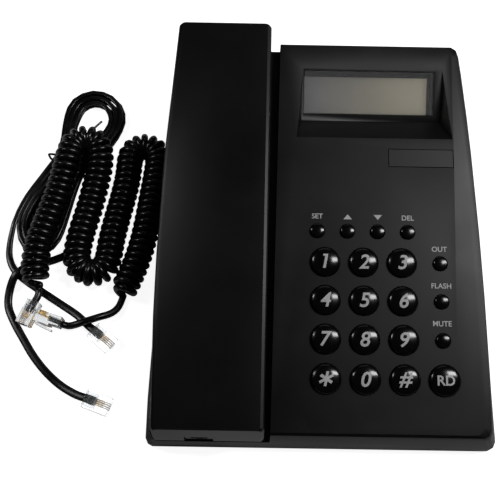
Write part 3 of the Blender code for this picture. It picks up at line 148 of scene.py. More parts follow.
def noiseOf(tree, scale, detail=2.0, rough=0.5, stretch=(1, 1, 1)):
    place = tree.nodes.new("ShaderNodeTexCoord")
    mapping = tree.nodes.new("ShaderNodeMapping")
    mapping.inputs["Scale"].default_value = stretch
    noise = tree.nodes.new("ShaderNodeTexNoise")
    noise.inputs["Scale"].default_value = scale
    noise.inputs["Detail"].default_value = detail
    noise.inputs["Roughness"].default_value = rough
    tree.links.new(place.outputs["Object"], mapping.inputs["Vector"])
    tree.links.new(mapping.outputs["Vector"], noise.inputs["Vector"])
    return noise.outputs["Fac"]


def mapped(tree, value, low, high, fromLow=0.3, fromHigh=0.7):
    spread = tree.nodes.new("ShaderNodeMapRange")
    spread.inputs["From Min"].default_value = fromLow
    spread.inputs["From Max"].default_value = fromHigh
    spread.inputs["To Min"].default_value = low
    spread.inputs["To Max"].default_value = high
    tree.links.new(value, spread.inputs["Value"])
    return spread.outputs["Result"]


def blendOf(tree, factor, first, second):
    mix = tree.nodes.new("ShaderNodeMix")
    mix.data_type = "RGBA"
    mix.inputs["A"].default_value = (*first, 1)
    mix.inputs["B"].default_value = (*second, 1)
    tree.links.new(factor, mix.inputs["Factor"])
    return mix.outputs["Result"]


def addBump(tree, shader, height, distance, strength):
    bump = tree.nodes.new("ShaderNodeBump")
    bump.inputs["Distance"].default_value = distance
    bump.inputs["Strength"].default_value = strength
    tree.links.new(height, bump.inputs["Height"])
    tree.links.new(bump.outputs["Normal"], shader.inputs["Normal"])


def mouldedPlastic(name, look):
    finish, tree, shader = newFinish(name, look["colour"], look["rough"][0], look["specular"])
    cloud = noiseOf(tree, look["cloud"], 3)
    tree.links.new(mapped(tree, cloud, *look["rough"]), shader.inputs["Roughness"])
    dust = noiseOf(tree, look["dustScale"], 6, 0.7)
    spots = mapped(tree, dust, 0.0, look["dust"], 0.52, 0.80)
    coated = blendOf(tree, spots, look["colour"], look["dustColour"])
    tree.links.new(coated, shader.inputs["Base Color"])
    grain = noiseOf(tree, look["grain"], 4, 0.6)
    addBump(tree, shader, grain, look["grainDepth"], look["grainStrength"])
    return finish


caseFinish = mouldedPlastic("satinCase", {
    "colour": (0.0030, 0.0030, 0.0034), "rough": (0.34, 0.44), "specular": 0.30,
    "cloud": 22, "dustScale": 90, "dust": 0.12, "dustColour": (0.030, 0.030, 0.032),
    "grain": 1500, "grainDepth": 0.00006, "grainStrength": 0.30,
})
handsetFinish = mouldedPlastic("satinHandset", {
    "colour": (0.0025, 0.0025, 0.0029), "rough": (0.33, 0.42), "specular": 0.28,
    "cloud": 18, "dustScale": 80, "dust": 0.10, "dustColour": (0.026, 0.026, 0.028),
    "grain": 1600, "grainDepth": 0.00005, "grainStrength": 0.28,
})
keyFinish = mouldedPlastic("glossKey", {
    "colour": (0.0016, 0.0016, 0.0018), "rough": (0.13, 0.19), "specular": 0.5,
    "cloud": 120, "dustScale": 400, "dust": 0.15, "dustColour": (0.030, 0.030, 0.032),
    "grain": 900, "grainDepth": 0.00002, "grainStrength": 0.20,
})
innerFinish = mouldedPlastic("plainMoulding", {
    "colour": (0.012, 0.012, 0.013), "rough": (0.40, 0.52), "specular": 0.4,
    "cloud": 60, "dustScale": 200, "dust": 0.15, "dustColour": (0.040, 0.040, 0.040),
    "grain": 1500, "grainDepth": 0.00004, "grainStrength": 0.3,
})
rubberFinish = mouldedPlastic("softRubber", {
    "colour": (0.022, 0.022, 0.022), "rough": (0.75, 0.90), "specular": 0.3,
    "cloud": 80, "dustScale": 260, "dust": 0.30, "dustColour": (0.070, 0.068, 0.064),
    "grain": 1200, "grainDepth": 0.0001, "grainStrength": 0.4,
})
cordFinish = mouldedPlastic("cordJacket", {
    "colour": (0.0018, 0.0018, 0.0020), "rough": (0.20, 0.30), "specular": 0.5,
    "cloud": 130, "dustScale": 320, "dust": 0.12, "dustColour": (0.025, 0.025, 0.026),
    "grain": 700, "grainDepth": 0.00003, "grainStrength": 0.25,
})


def plateFinishOf():
    look = {"colour": (0.008, 0.008, 0.009), "rough": (0.34, 0.50), "ribs": 520, "waver": 0.4,
            "grain": 1800, "ribDepth": 0.00005, "ribStrength": 0.5}
    finish, tree, shader = newFinish("ribbedPlate", look["colour"], 0.42, 0.4)
    place = tree.nodes.new("ShaderNodeTexCoord")
    wave = tree.nodes.new("ShaderNodeTexWave")
    wave.bands_direction = "Y"
    wave.inputs["Scale"].default_value = look["ribs"]
    wave.inputs["Distortion"].default_value = look["waver"]
    tree.links.new(place.outputs["Object"], wave.inputs["Vector"])
    fine = noiseOf(tree, look["grain"], 3, 0.6)
    tree.links.new(mapped(tree, fine, *look["rough"]), shader.inputs["Roughness"])
    addBump(tree, shader, wave.outputs["Fac"], look["ribDepth"], look["ribStrength"])
    return finish


def boardFinishOf():
    look = {"colour": (0.015, 0.10, 0.04), "bare": (0.012, 0.085, 0.034),
            "track": (0.022, 0.150, 0.060), "scale": 260, "stretch": (1, 0.25, 1),
            "edges": (0.49, 0.52), "depth": 0.00003, "strength": 0.6}
    finish, tree, shader = newFinish("circuitBoard", look["colour"], 0.4, 0.5)
    track = noiseOf(tree, look["scale"], 1, 0.4, look["stretch"])
    lines = mapped(tree, track, 0.0, 1.0, *look["edges"])
    tracks = blendOf(tree, lines, look["bare"], look["track"])
    tree.links.new(tracks, shader.inputs["Base Color"])
    addBump(tree, shader, lines, look["depth"], look["strength"])
    return finish


def steelFinishOf():
    look = {"colour": (0.50, 0.50, 0.51), "rough": (0.26, 0.46), "scale": 700,
            "stretch": (1, 6, 1), "depth": 0.00002, "strength": 0.3}
    finish, tree, shader = newFinish("plainSteel", look["colour"], 0.32, 0.5, 1.0)
    scratch = noiseOf(tree, look["scale"], 4, 0.6, look["stretch"])
    tree.links.new(mapped(tree, scratch, *look["rough"]), shader.inputs["Roughness"])
    addBump(tree, shader, scratch, look["depth"], look["strength"])
    return finish


def goldFinishOf():
    look = {"colour": (0.86, 0.56, 0.20), "rough": (0.20, 0.36), "scale": 900}
    finish, tree, shader = newFinish("goldContact", look["colour"], 0.24, 0.5, 1.0)
    wear = noiseOf(tree, look["scale"], 3)
    tree.links.new(mapped(tree, wear, *look["rough"]), shader.inputs["Roughness"])
    return finish


def clearFinishOf(name, colour, rough, grain):
    look = {"bend": 1.49, "depth": 0.00004, "strength": 0.25}
    finish, tree, shader = newFinish(name, colour, rough[0], 0.5)
    shader.inputs["Transmission Weight"].default_value = 1.0
    shader.inputs["IOR"].default_value = look["bend"]
    haze = noiseOf(tree, grain, 3)
    tree.links.new(mapped(tree, haze, *rough), shader.inputs["Roughness"])
    addBump(tree, shader, haze, look["depth"], look["strength"])
    return finish


# The display's colour runs from dark at the left to pale at the right: painted shade and painted light
# across the display
def displayFinishOf():
    look = {"colour": (0.16, 0.16, 0.10), "rough": (0.26, 0.36), "scale": 900,
            "left": 8 * mm, "right": 6 * mm, "dark": (0.112, 0.109, 0.104, 1),
            "half": (0.200, 0.184, 0.138, 1), "pale": (0.340, 0.310, 0.225, 1)}
    finish, tree, shader = newFinish("liquidDisplay", look["colour"], 0.30, 0.3)
    low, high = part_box("lcd_panel")
    place = tree.nodes.new("ShaderNodeTexCoord")
    parts = tree.nodes.new("ShaderNodeSeparateXYZ")
    tree.links.new(place.outputs["Object"], parts.inputs["Vector"])
    across = mapped(tree, parts.outputs["X"], 0.0, 1.0, low.x + look["left"], high.x - look["right"])
    # Painted shade at the left edge, painted light towards the right edge
    ramp = tree.nodes.new("ShaderNodeValToRGB")
    stops = ramp.color_ramp.elements
    stops[0].position, stops[0].color = 0.0, look["dark"]
    stops[1].position, stops[1].color = 1.0, look["pale"]
    middle = stops.new(0.5)
    middle.color = look["half"]
    tree.links.new(across, ramp.inputs["Fac"])
    tree.links.new(ramp.outputs["Color"], shader.inputs["Base Color"])
    mesh = noiseOf(tree, look["scale"], 2)
    tree.links.new(mapped(tree, mesh, *look["rough"]), shader.inputs["Roughness"])
    return finish


def inkFinishOf():
    look = {"colour": (0.55, 0.55, 0.55), "thin": (0.47, 0.47, 0.47),
            "full": (0.62, 0.62, 0.61), "scale": 500}
    finish, tree, shader = newFinish("whiteInk", look["colour"], 0.5, 0.3)
    patch = mapped(tree, noiseOf(tree, look["scale"], 4, 0.6), 0.0, 1.0)
    tree.links.new(blendOf(tree, patch, look["thin"], look["full"]), shader.inputs["Base Color"])
    return finish


plateFinish = plateFinishOf()
boardFinish = boardFinishOf()
steelFinish = steelFinishOf()
goldFinish = goldFinishOf()
displayFinish = displayFinishOf()
windowFinish = clearFinishOf("clearWindow", (0.97, 0.97, 0.98), (0.02, 0.05), 40)
plugFinish = clearFinishOf("clearPlug", (0.66, 0.67, 0.68), (0.05, 0.14), 300)

inkFinish = inkFinishOf()
# Near-black finish for the display's strips: the display's own black border, and painted shade where
# the window's inner top wall lies in shadow
borderAndShadeFinish = mouldedPlastic("blackBorderAndShade", {
    "colour": (0.0012, 0.0012, 0.0013), "rough": (0.55, 0.70), "specular": 0.15,
    "cloud": 90, "dustScale": 300, "dust": 0.05, "dustColour": (0.010, 0.010, 0.010),
    "grain": 1200, "grainDepth": 0.00003, "grainStrength": 0.2,
})
print("finishes made")

# The CAD pieces that keep their shape

nodeFinishes = {
    "base_lower_case": caseFinish, "hook_switch": innerFinish, "hook_plunger": keyFinish,
    "line_jack": innerFinish, "handset_jack": innerFinish, "handset_socket": innerFinish,
    "ringer": innerFinish, "receiver_capsule": innerFinish, "microphone_capsule": innerFinish,
    "keypad_membrane": rubberFinish, "main_circuit_board": boardFinish, "lcd_panel": displayFinish,
    "display_window": windowFinish, "name_plate": plateFinish,
}
for nodeName in nodes:
    if nodeName.startswith("foot_"):
        nodeFinishes[nodeName] = rubberFinish
    if "_screw_" in nodeName:
        nodeFinishes[nodeName] = steelFinish
for nodeName, finish in nodeFinishes.items():
    for nodeSlot in nodes[nodeName].material_slots:
        nodeSlot.material = finish
print("CAD pieces finished:", len(nodeFinishes))

# Shells with rounded edges, copied from their CAD nodes

shells = {
    "panelCover": {
        "node": "base_upper_cover", "body": "base", "finish": caseFinish, "edge": 0.55 * mm,
    },
    "handsetUpper": {
        "node": "handset_upper_shell", "body": "handset", "finish": handsetFinish, "edge": 0.7 * mm,
    },
    "handsetLower": {
        "node": "handset_lower_shell", "body": "handset", "finish": handsetFinish, "edge": 0.5 * mm,
    },
}
shellLook = {"flatAngle": 0.4, "edgeAngle": 28, "segments": 3}


def roundedShell(name, look):
    bm = bmesh.new()
    bm.from_mesh(nodes[look["node"]].data)
    bmesh.ops.remove_doubles(bm, verts=bm.verts, dist=weld["usual"])
    bmesh.ops.dissolve_limit(bm, angle_limit=math.radians(shellLook["flatAngle"]),
                             verts=bm.verts, edges=bm.edges)
    mesh = toMesh(name, bm, look["finish"], angle=shellLook["edgeAngle"])
    piece = addPiece(name, mesh, look["body"], (look["node"],))
    rounding = addRounding(piece, look["edge"], shellLook["segments"], shellLook["edgeAngle"])
    rounding.harden_normals = True


for shellName, shell in shells.items():
    roundedShell(shellName, shell)
print("shells rounded")

# Keys

keyLooks = {
    "big": {"radius": 7.45 * mm, "crown": 3.0 * mm, "edge": 1.0 * mm, "steps": 64},
    "redial": {"radius": 7.70 * mm, "crown": 3.0 * mm, "edge": 1.0 * mm, "steps": 64},
    "small": {"radius": 3.65 * mm, "crown": 1.9 * mm, "edge": 1.0 * mm, "steps": 40},
}
keySkirt = {"depth": 3.8 * mm, "flangeThick": 1.0 * mm, "flangeReach": 1.38 * mm, "rings": 14}
keyGrid = {
    "left": 1.13 * mm, "top": -15.65 * mm, "pitch": 19.5 * mm, "sideX": 59.7 * mm,
    "smallX": -2.7 * mm, "smallPitch": 15.45 * mm, "smallV": 0.5 * mm,
}
labelLook = {
    "digit": 7.1 * mm, "word": 4.7 * mm, "panelWord": 2.6 * mm, "lift": 0.035 * mm,
    "digitBold": 0.17 * mm, "wordBold": 0.14 * mm, "panelBold": 0.05 * mm, "slant": 0.20,
    "capitalShare": 0.70, "longestEdge": 0.9 * mm, "splits": 3,
}
starLook = {"arms": 6, "thinShare": 0.095}
flagLook = {"run": 0.16, "drop": 0.14, "footRight": 0.8, "footLeft": 1.15, "topShare": 0.8}
arrowLook = {"across": 2.55 * mm, "tall": 1.75 * mm}


def domeHeight(look, distance):
    share = min(distance / look["radius"], 1.0)
    return look["edge"] + (look["crown"] - look["edge"]) * math.sqrt(1 - share ** 2)


def keyCap(name, look, u, v, node):
    bm = bmesh.new()
    radius, crown, edge = look["radius"], look["crown"], look["edge"]
    outline = []
    for step in range(keySkirt["rings"] + 1):
        turn = step / keySkirt["rings"] * math.pi / 2
        outline.append((radius * math.sin(turn), edge + (crown - edge) * math.cos(turn)))
    foot = -keySkirt["depth"]
    under = foot + keySkirt["flangeThick"]
    flange = radius + keySkirt["flangeReach"]
    outline += [(radius, under), (flange, under), (flange, foot), (0.0, foot)]
    ring = [bm.verts.new((r, 0, z)) for r, z in outline]
    for first, second in zip(ring, ring[1:]):
        bm.edges.new((first, second))
    bmesh.ops.spin(bm, geom=bm.verts[:] + bm.edges[:], cent=(0, 0, 0), axis=(0, 0, 1),
                   angle=fullTurn, steps=look["steps"], use_merge=True)
    bmesh.ops.remove_doubles(bm, verts=bm.verts, dist=weld["tight"])
    bmesh.ops.recalc_face_normals(bm, faces=bm.faces)
    mesh = toMesh(name, bm, keyFinish, panelPlace @ Matrix.Translation((u, v, 0)), 40)
    addPiece(name, mesh, node + "_body", (node,))


def letterMesh(name, words, height, bold, slant):
    text = bpy.data.curves.new(name, "FONT")
    text.body = words
    text.size = height / labelLook["capitalShare"]
    text.offset = bold
    text.shear = slant
    text.resolution_u = 5
    holder = bpy.data.objects.new(name, text)
    bpy.context.scene.collection.objects.link(holder)
    mesh = applied(holder)
    bpy.data.objects.remove(holder)
    bm = bmesh.new()
    bm.from_mesh(mesh)
    bmesh.ops.remove_doubles(bm, verts=bm.verts, dist=weld["usual"])
    low = Vector([min(vert.co[i] for vert in bm.verts) for i in range(3)])
    high = Vector([max(vert.co[i] for vert in bm.verts) for i in range(3)])
    bmesh.ops.translate(bm, vec=-(low + high) / 2, verts=bm.verts)
    return bm


def addOutline(bm, points):
    face = bm.faces.new([bm.verts.new((x, y, 0)) for x, y in points])
    if face.normal.z < 0:
        bmesh.ops.reverse_faces(bm, faces=[face])


def starMesh(height):
    bm = bmesh.new()
    half, thin = height / 2, height * starLook["thinShare"]
    step = 360 / starLook["arms"]
    outline = []
    for i in range(starLook["arms"]):
        turn = math.radians(90 - step * i)
        between = turn - math.radians(step / 2)
        tip = Vector((math.cos(turn), math.sin(turn)))
        side = Vector((-tip.y, tip.x)) * thin
        outline += [tip * half + side, tip * half - side]
        outline.append(Vector((math.cos(between), math.sin(between))) * thin * 2)
    addOutline(bm, [(point.x + labelLook["slant"] * point.y, point.y) for point in outline])
    bm.normal_update()
    return bm


def addFlag(bm, height):
    high = max(vert.co.y for vert in bm.verts)
    left = min(vert.co.x for vert in bm.verts if vert.co.y > high * flagLook["topShare"])
    run, drop = height * flagLook["run"], height * flagLook["drop"]
    addOutline(bm, [(left - run, high), (left + run, high),
                    (left + run * flagLook["footRight"], high - drop),
                    (left - run * flagLook["footLeft"], high - drop)])


def keyLabel(name, words, look, u, v, node, height, bold, slant):
    bm = starMesh(height) if words == "*" else letterMesh(name, words, height, bold, slant)
    if words == "1":
        addFlag(bm, height)
    bmesh.ops.triangulate(bm, faces=bm.faces)
    for turn in range(labelLook["splits"]):
        long = [edge for edge in bm.edges if edge.calc_length() > labelLook["longestEdge"]]
        if long:
            bmesh.ops.subdivide_edges(bm, edges=long, cuts=1)
            bmesh.ops.triangulate(bm, faces=bm.faces)
    for vert in bm.verts:
        vert.co.z = domeHeight(look, math.hypot(vert.co.x, vert.co.y)) + labelLook["lift"]
    mesh = toMesh(name, bm, inkFinish, panelPlace @ Matrix.Translation((u, v, 0)), 60)
    addPiece(name, mesh, node + "_body")


def addPrint(name, bm, u, v):
    place = panelPlace @ Matrix.Translation((u, v, labelLook["lift"]))
    addPiece(name, toMesh(name, bm, inkFinish, place, 60), "base")


def panelWord(name, words, u, v):
    bm = letterMesh(name, words, labelLook["panelWord"], labelLook["panelBold"], 0.0)
    addPrint(name, bm, u, v)


def panelArrow(name, u, v, turn):
    bm = bmesh.new()
    bmesh.ops.create_circle(bm, cap_ends=True, segments=3, radius=1.0)
    bmesh.ops.rotate(bm, cent=(0, 0, 0), matrix=Matrix.Rotation(math.radians(turn), 3, "Z"),
                     verts=bm.verts)
    bmesh.ops.scale(bm, vec=(arrowLook["across"], arrowLook["tall"], 1), verts=bm.verts)
    if bm.faces[:][0].normal.z < 0:
        bmesh.ops.reverse_faces(bm, faces=bm.faces)
    addPrint(name, bm, u, v)


digitWords = {str(digit): str(digit) for digit in range(1, 10)}
digitWords.update({"star": "*", "0": "0", "hash": "#"})
for index, (digitName, digitWord) in enumerate(digitWords.items()):
    keyU = keyGrid["left"] + keyGrid["pitch"] * (index % 3)
    keyV = keyGrid["top"] - keyGrid["pitch"] * (index // 3)
    digitNode, digitTitle = "key_" + digitName, digitName.capitalize()
    keyCap("cap" + digitTitle, keyLooks["big"], keyU, keyV, digitNode)
    keyLabel("label" + digitTitle, digitWord, keyLooks["big"], keyU, keyV, digitNode,
             labelLook["digit"], labelLook["digitBold"], labelLook["slant"])

redialV = keyGrid["top"] - 3 * keyGrid["pitch"]
keyCap("capRedial", keyLooks["redial"], keyGrid["sideX"], redialV, "key_redial")
keyLabel("labelRedial", "RD", keyLooks["redial"], keyGrid["sideX"], redialV, "key_redial",
         labelLook["word"], labelLook["wordBold"], 0.0)

sideWords = {
    "out": (-0.2 * mm, 7.5 * mm), "flash": (0.1 * mm, 8.1 * mm), "mute": (-0.1 * mm, 8.5 * mm),
}
for index, (sideName, (wordShift, wordRise)) in enumerate(sideWords.items()):
    sideV = keyGrid["top"] - keyGrid["pitch"] * index
    keyCap("cap" + sideName.capitalize(), keyLooks["small"], keyGrid["sideX"], sideV,
           "key_" + sideName)
    panelWord("word" + sideName.capitalize(), sideName.upper(), keyGrid["sideX"] + wordShift,
              sideV + wordRise)

for index, topName in enumerate(("set", "up", "down", "delete")):
    topU = keyGrid["smallX"] + keyGrid["smallPitch"] * index
    keyCap("cap" + topName.capitalize(), keyLooks["small"], topU, keyGrid["smallV"],
           "key_" + topName)
panelWord("wordSet", "SET", -2.7 * mm, 8.3 * mm)
panelArrow("arrowUp", 12.9 * mm, 7.7 * mm, 0)
panelArrow("arrowDown", 28.4 * mm, 8.5 * mm, 180)
panelWord("wordDelete", "DEL", 43.9 * mm, 8.0 * mm)

# The black strips along the display's top and right: the right one is the display's black border, the
# top one is painted shade on the window's inner top wall

mask = {
    "foot": 90.7 * mm, "tilt": 16.5,
    "left": -9.3 * mm, "right": 58.3 * mm, "low": -24.3 * mm, "top": -3.9 * mm,
    "outerRight": 60.7 * mm, "outerTop": -1.3 * mm, "face": -6.1 * mm, "back": -6.4 * mm,
}


def displayMask():
    place = panelPlace @ Matrix.Translation((0, mask["foot"], 0))
    place = place @ Matrix.Rotation(math.radians(mask["tilt"]), 4, "X")
    bm = bmesh.new()
    # Top strip: painted shade standing in for the shaded inner top wall of the window
    addBlock(bm, (mask["left"], mask["top"], mask["back"]),
             (mask["right"], mask["outerTop"], mask["face"]))
    # Right strip: the display's own black border
    addBlock(bm, (mask["right"], mask["low"], mask["back"]),
             (mask["outerRight"], mask["outerTop"], mask["face"]))
    addPiece("displayMask", toMesh("displayMask", bm, borderAndShadeFinish, place), "base")


displayMask()

# The dot that fingers feel on the middle key

dot = {"radius": 0.45 * mm, "away": 5.0 * mm, "around": 16, "up": 10}


def touchDot():
    bm = bmesh.new()
    bmesh.ops.create_uvsphere(bm, u_segments=dot["around"], v_segments=dot["up"],
                              radius=dot["radius"])
    keyU = keyGrid["left"] + keyGrid["pitch"]
    keyV = keyGrid["top"] - keyGrid["pitch"]
    height = domeHeight(keyLooks["big"], dot["away"])
    place = panelPlace @ Matrix.Translation((keyU + dot["away"], keyV, height))
    addPiece("touchDot", toMesh("touchDot", bm, keyFinish, place), "key_5_body")


touchDot()
print("keys and lettering made")

# Cords

curlyRoute = [
    (-0.1520, -0.0212, 0.0046), (-0.1530, -0.0110, 0.0058), (-0.1522, 0.0010, 0.0071),
    (-0.1495, 0.0125, 0.0072), (-0.1464, 0.0245, 0.0074), (-0.1436, 0.0360, 0.0084),
    (-0.1414, 0.0465, 0.0102), (-0.1399, 0.0560, 0.0106), (-0.1373, 0.0619, 0.0107),
    (-0.1316, 0.0643, 0.0107), (-0.1258, 0.0620, 0.0102), (-0.1232, 0.0560, 0.0096),
    (-0.1231, 0.0470, 0.0082), (-0.1250, 0.0350, 0.0058), (-0.1277, 0.0210, 0.0042),
    (-0.1304, 0.0080, 0.0038), (-0.1317, -0.0050, 0.0030), (-0.1293, -0.0109, 0.0020),
    (-0.1234, -0.0133, 0.0008), (-0.1175, -0.0109, 0.0002), (-0.1151, -0.0050, 0.0),
    (-0.1140, 0.0070, 0.0), (-0.1118, 0.0210, 0.0), (-0.1094, 0.0345, 0.0),
    (-0.1079, 0.0465, 0.0), (-0.1075, 0.0575, 0.0), (-0.1051, 0.0633, 0.0),
    (-0.0993, 0.0657, 0.0), (-0.0936, 0.0633, 0.0), (-0.0913, 0.0575, 0.0),
    (-0.0919, 0.0460, 0.0), (-0.0933, 0.0330, 0.0), (-0.0946, 0.0200, 0.0),
    (-0.0964, 0.0070, 0.0), (-0.0990, -0.0050, 0.0), (-0.1026, -0.0160, 0.0),
    (-0.1062, -0.0245, 0.0),
]
curlyTailIn = [(-0.15265, -0.02930, 0.0045), (-0.15125, -0.02554, 0.0045)]
curlyTailOut = [
    (-0.1082, -0.0306, 0.0002), (-0.1118, -0.0346, 0.0014), (-0.1176, -0.0374, 0.0036),
    (-0.1240, -0.0400, 0.0047), (-0.1300, -0.0420, 0.0040), (-0.1342, -0.0422, 0.0023),
    (-0.1376, -0.0411, 0.0020),
]
hankRoute = [
    (-0.1315, 0.0600), (-0.1222, 0.0735), (-0.1183, 0.0860), (-0.1228, 0.0968),
    (-0.1330, 0.1008), (-0.1424, 0.0956), (-0.1458, 0.0830), (-0.1458, 0.0700),
    (-0.1478, 0.0580), (-0.1545, 0.0460), (-0.1620, 0.0330), (-0.1663, 0.0205),
    (-0.1662, 0.0125), (-0.1627, 0.0052), (-0.1560, 0.0024), (-0.1493, 0.0052),
    (-0.1458, 0.0125), (-0.1433, 0.0240), (-0.1405, 0.0380), (-0.1370, 0.0495),
]
leadShortRoute = [
    (-0.1720, 0.0055, 0.0016), (-0.1714, -0.0035, 0.0), (-0.1670, -0.0110, 0.0),
    (-0.1600, -0.0166, 0.0), (-0.1525, -0.0215, 0.0), (-0.1450, -0.0262, 0.0),
    (-0.1384, -0.0303, 0.0), (-0.1315, -0.0347, 0.0004), (-0.1270, -0.0383, 0.0009),
    (-0.1236, -0.0415, 0.0016), (-0.1208, -0.0437, 0.0019),
]
leadLongRoute = [
    (-0.1322, 0.0420, 0.0), (-0.1325, 0.0300, 0.0), (-0.1322, 0.0180, 0.0),
    (-0.1340, 0.0075, 0.0), (-0.1388, 0.0006, 0.0), (-0.1460, -0.0034, 0.0),
    (-0.1540, -0.0062, 0.0004), (-0.1605, -0.0092, 0.0026), (-0.1655, -0.0136, 0.0036),
    (-0.1684, -0.0215, 0.0014), (-0.1684, -0.0310, 0.0), (-0.1640, -0.0400, 0.0),
    (-0.1580, -0.0490, 0.0), (-0.1515, -0.0582, 0.0), (-0.1440, -0.0665, 0.0),
    (-0.1358, -0.0733, 0.0), (-0.1276, -0.0780, 0.0010), (-0.1217, -0.0802, 0.0019),
]
curly = {
    "wire": 3.9 * mm, "outside": 15.4 * mm, "pitch": 4.06 * mm, "ramp": 0.8, "start": 180,
    "bendCrowd": 0.30, "loosePitch": 1.03, "looseEnd": 0.24, "looseFade": 4, "points": 18,
    "finePoints": 16, "bendWindow": 1 / 3,
}
lineCord = {
    "thick": 2.6 * mm, "layer": 3.6 * mm, "lane": 2.9 * mm, "sideSpread": 0.88, "topSpread": 1.22,
    "topY": 0.088, "topBlend": 0.012, "turns": 5.625, "climb": 0.25, "loopPoints": 48,
    "waistY": 0.0575, "waistReach": 0.016, "waistLift": 1.8 * mm,
    "flatWidth": 4.3 * mm, "flatThick": 2.9 * mm, "hankShrink": 0.66, "blendRun": 0.040,
    "leadStep": 2.5 * mm, "sectionSides": 20, "sideCorner": 0.55, "topCorner": 0.70,
}
smoothSteps = 16


def smoothLine(points, perSpan, closed=False):
    given = np.array(points, float)
    if closed:
        padded = np.vstack((given[-1], given, given[0], given[1]))
        spans = len(given)
    else:
        padded = np.vstack((2 * given[0] - given[1], given, 2 * given[-1] - given[-2]))
        spans = len(given) - 1
    line = []
    for i in range(spans):
        before, start, end, after = padded[i:i + 4]
        for t in np.arange(perSpan) / perSpan:
            line.append(0.5 * (2 * start + (end - before) * t
                               + (2 * before - 5 * start + 4 * end - after) * t ** 2
                               + (3 * start - before - 3 * end + after) * t ** 3))
    if not closed:
        line.append(given[-1])
    return np.array(line)


def runLengths(line):
    return np.concatenate(((0.0,), np.cumsum(np.linalg.norm(np.diff(line, axis=0), axis=1))))


def along(line, lengths, places):
    return np.column_stack([np.interp(places, lengths, line[:, i]) for i in range(line.shape[1])])


def evenLine(points, step):
    line = smoothLine(points, smoothSteps)
    lengths = runLengths(line)
    count = max(2, round(lengths[-1] / step))
    return along(line, lengths, np.linspace(0, lengths[-1], count + 1))


def lifted(route, height):
    return [(x, y, lift + height) for x, y, lift in route]


def curlyLine():
    wire = curly["wire"] / 2
    curlRadius = (curly["outside"] - curly["wire"]) / 2
    fine = evenLine(curlyRoute, curly["wire"] / curly["finePoints"])
    lengths = runLengths(fine)
    ahead = np.gradient(fine, axis=0)
    ahead /= np.linalg.norm(ahead, axis=1)[:, None]
    heading = np.unwrap(np.arctan2(ahead[:, 1], ahead[:, 0]))
    bend = np.abs(np.gradient(heading, lengths))
    window = round(curly["outside"] * curly["bendWindow"] / (lengths[1] - lengths[0]))
    spread = np.ones(2 * window + 1) / (2 * window + 1)
    bend = np.convolve(np.pad(bend, window, "edge"), spread, "valid")
    crowding = curly["bendCrowd"] * np.clip(curlRadius * bend, 0.0, 1.0)
    reach = np.clip(lengths / lengths[-1] / curly["looseEnd"], 0.0, 1.0)
    loose = 1 + (curly["loosePitch"] - 1) * (1 - reach ** curly["looseFade"])
    rate = (1 + crowding) / (curly["pitch"] * loose)
    turns = np.concatenate(((0.0,), np.cumsum((rate[1:] + rate[:-1]) / 2 * np.diff(lengths))))
    places = np.linspace(0, turns[-1], round(turns[-1] * curly["points"]) + 1)
    middle = along(fine, turns, places)
    forward = along(ahead, turns, places)
    side = np.column_stack((-forward[:, 1], forward[:, 0], np.zeros(len(places))))
    side /= np.linalg.norm(side, axis=1)[:, None]
    upward = np.cross(forward, side)
    growth = np.clip(np.minimum(places, turns[-1] - places) / curly["ramp"], 0.0, 1.0)
    radius = curlRadius * (1 - (1 - growth) ** 2)
    middle[:, 2] += wire + radius
    phase = fullTurn * places + math.radians(curly["start"])
    curls = middle + radius[:, None] * (np.cos(phase)[:, None] * side + np.sin(phase)[:, None] * upward)
    start = evenLine(lifted(curlyTailIn, wire) + [tuple(curls[0])], wire)
    finish = evenLine([tuple(curls[-1])] + lifted(curlyTailOut, wire), wire)
    return np.vstack((start[:-1], curls, finish[1:]))


def hankLine():
    loop = smoothLine(hankRoute, smoothSteps, closed=True)
    loop = np.vstack((loop, loop[:1]))
    lengths = runLengths(loop)
    lane, climbTurns = lineCord["lane"], lineCord["climb"]
    spiral = (lineCord["turns"] - climbTurns) / 2
    count = round(lineCord["turns"] * lineCord["loopPoints"]) + 1
    sideSpread, topSpread = lineCord["sideSpread"], lineCord["topSpread"]
    points = []
    for turn in np.linspace(0, lineCord["turns"], count):
        climb = min(max((turn - spiral) / climbTurns, 0.0), 1.0)
        offset = spiral * lane / 2 - lane * min(turn, spiral)
        offset += lane * max(0.0, turn - spiral - climbTurns)
        spot = (turn % 1.0) * lengths[-1]
        here = along(loop, lengths, [spot])[0]
        there = along(loop, lengths, [(spot + lane) % lengths[-1]])[0]
        back = along(loop, lengths, [(spot - lane) % lengths[-1]])[0]
        ahead = (there - back) / np.linalg.norm(there - back)
        atTop = min(max((here[1] - lineCord["topY"]) / lineCord["topBlend"] + 0.5, 0.0), 1.0)
        offset *= sideSpread + (topSpread - sideSpread) * atTop
        fromWaist = (here[1] - lineCord["waistY"]) / lineCord["waistReach"]
        lift = lineCord["waistLift"] * math.exp(-fromWaist ** 2)
        points.append((here[0] + ahead[1] * offset, here[1] - ahead[0] * offset,
                       lineCord["thick"] / 2 + lift + climb * lineCord["layer"]))
    return np.array(points)


def leadLine(end, before, route):
    ahead = (end - before) / np.linalg.norm(end - before)
    points = [tuple(end), tuple(end + ahead * lineCord["thick"])]
    points += lifted(route, lineCord["thick"] / 2)
    return evenLine(points, lineCord["leadStep"])


def cordCurve(name, points, depth=0.0, resolution=4, profile=None, sizes=None):
    data = bpy.data.curves.new(name, "CURVE")
    data.dimensions = "3D"
    data.use_fill_caps = True
    if profile:
        data.bevel_mode = "OBJECT"
        data.bevel_object = profile
        data.twist_mode = "Z_UP"
    else:
        data.bevel_depth = depth
        data.bevel_resolution = resolution
    spline = data.splines.new("POLY")
    spline.points.add(len(points) - 1)
    for i, target in enumerate(spline.points):
        target.co = (*points[i], 1.0)
        if sizes is not None:
            target.radius = sizes[i]
    spline.use_smooth = True
    data.materials.append(cordFinish)
    return data


curlyPath = curlyLine()
handsetCord = addPiece("handsetCord", cordCurve("handsetCord", curlyPath, curly["wire"] / 2),
                       "base", ("handset_cord",))

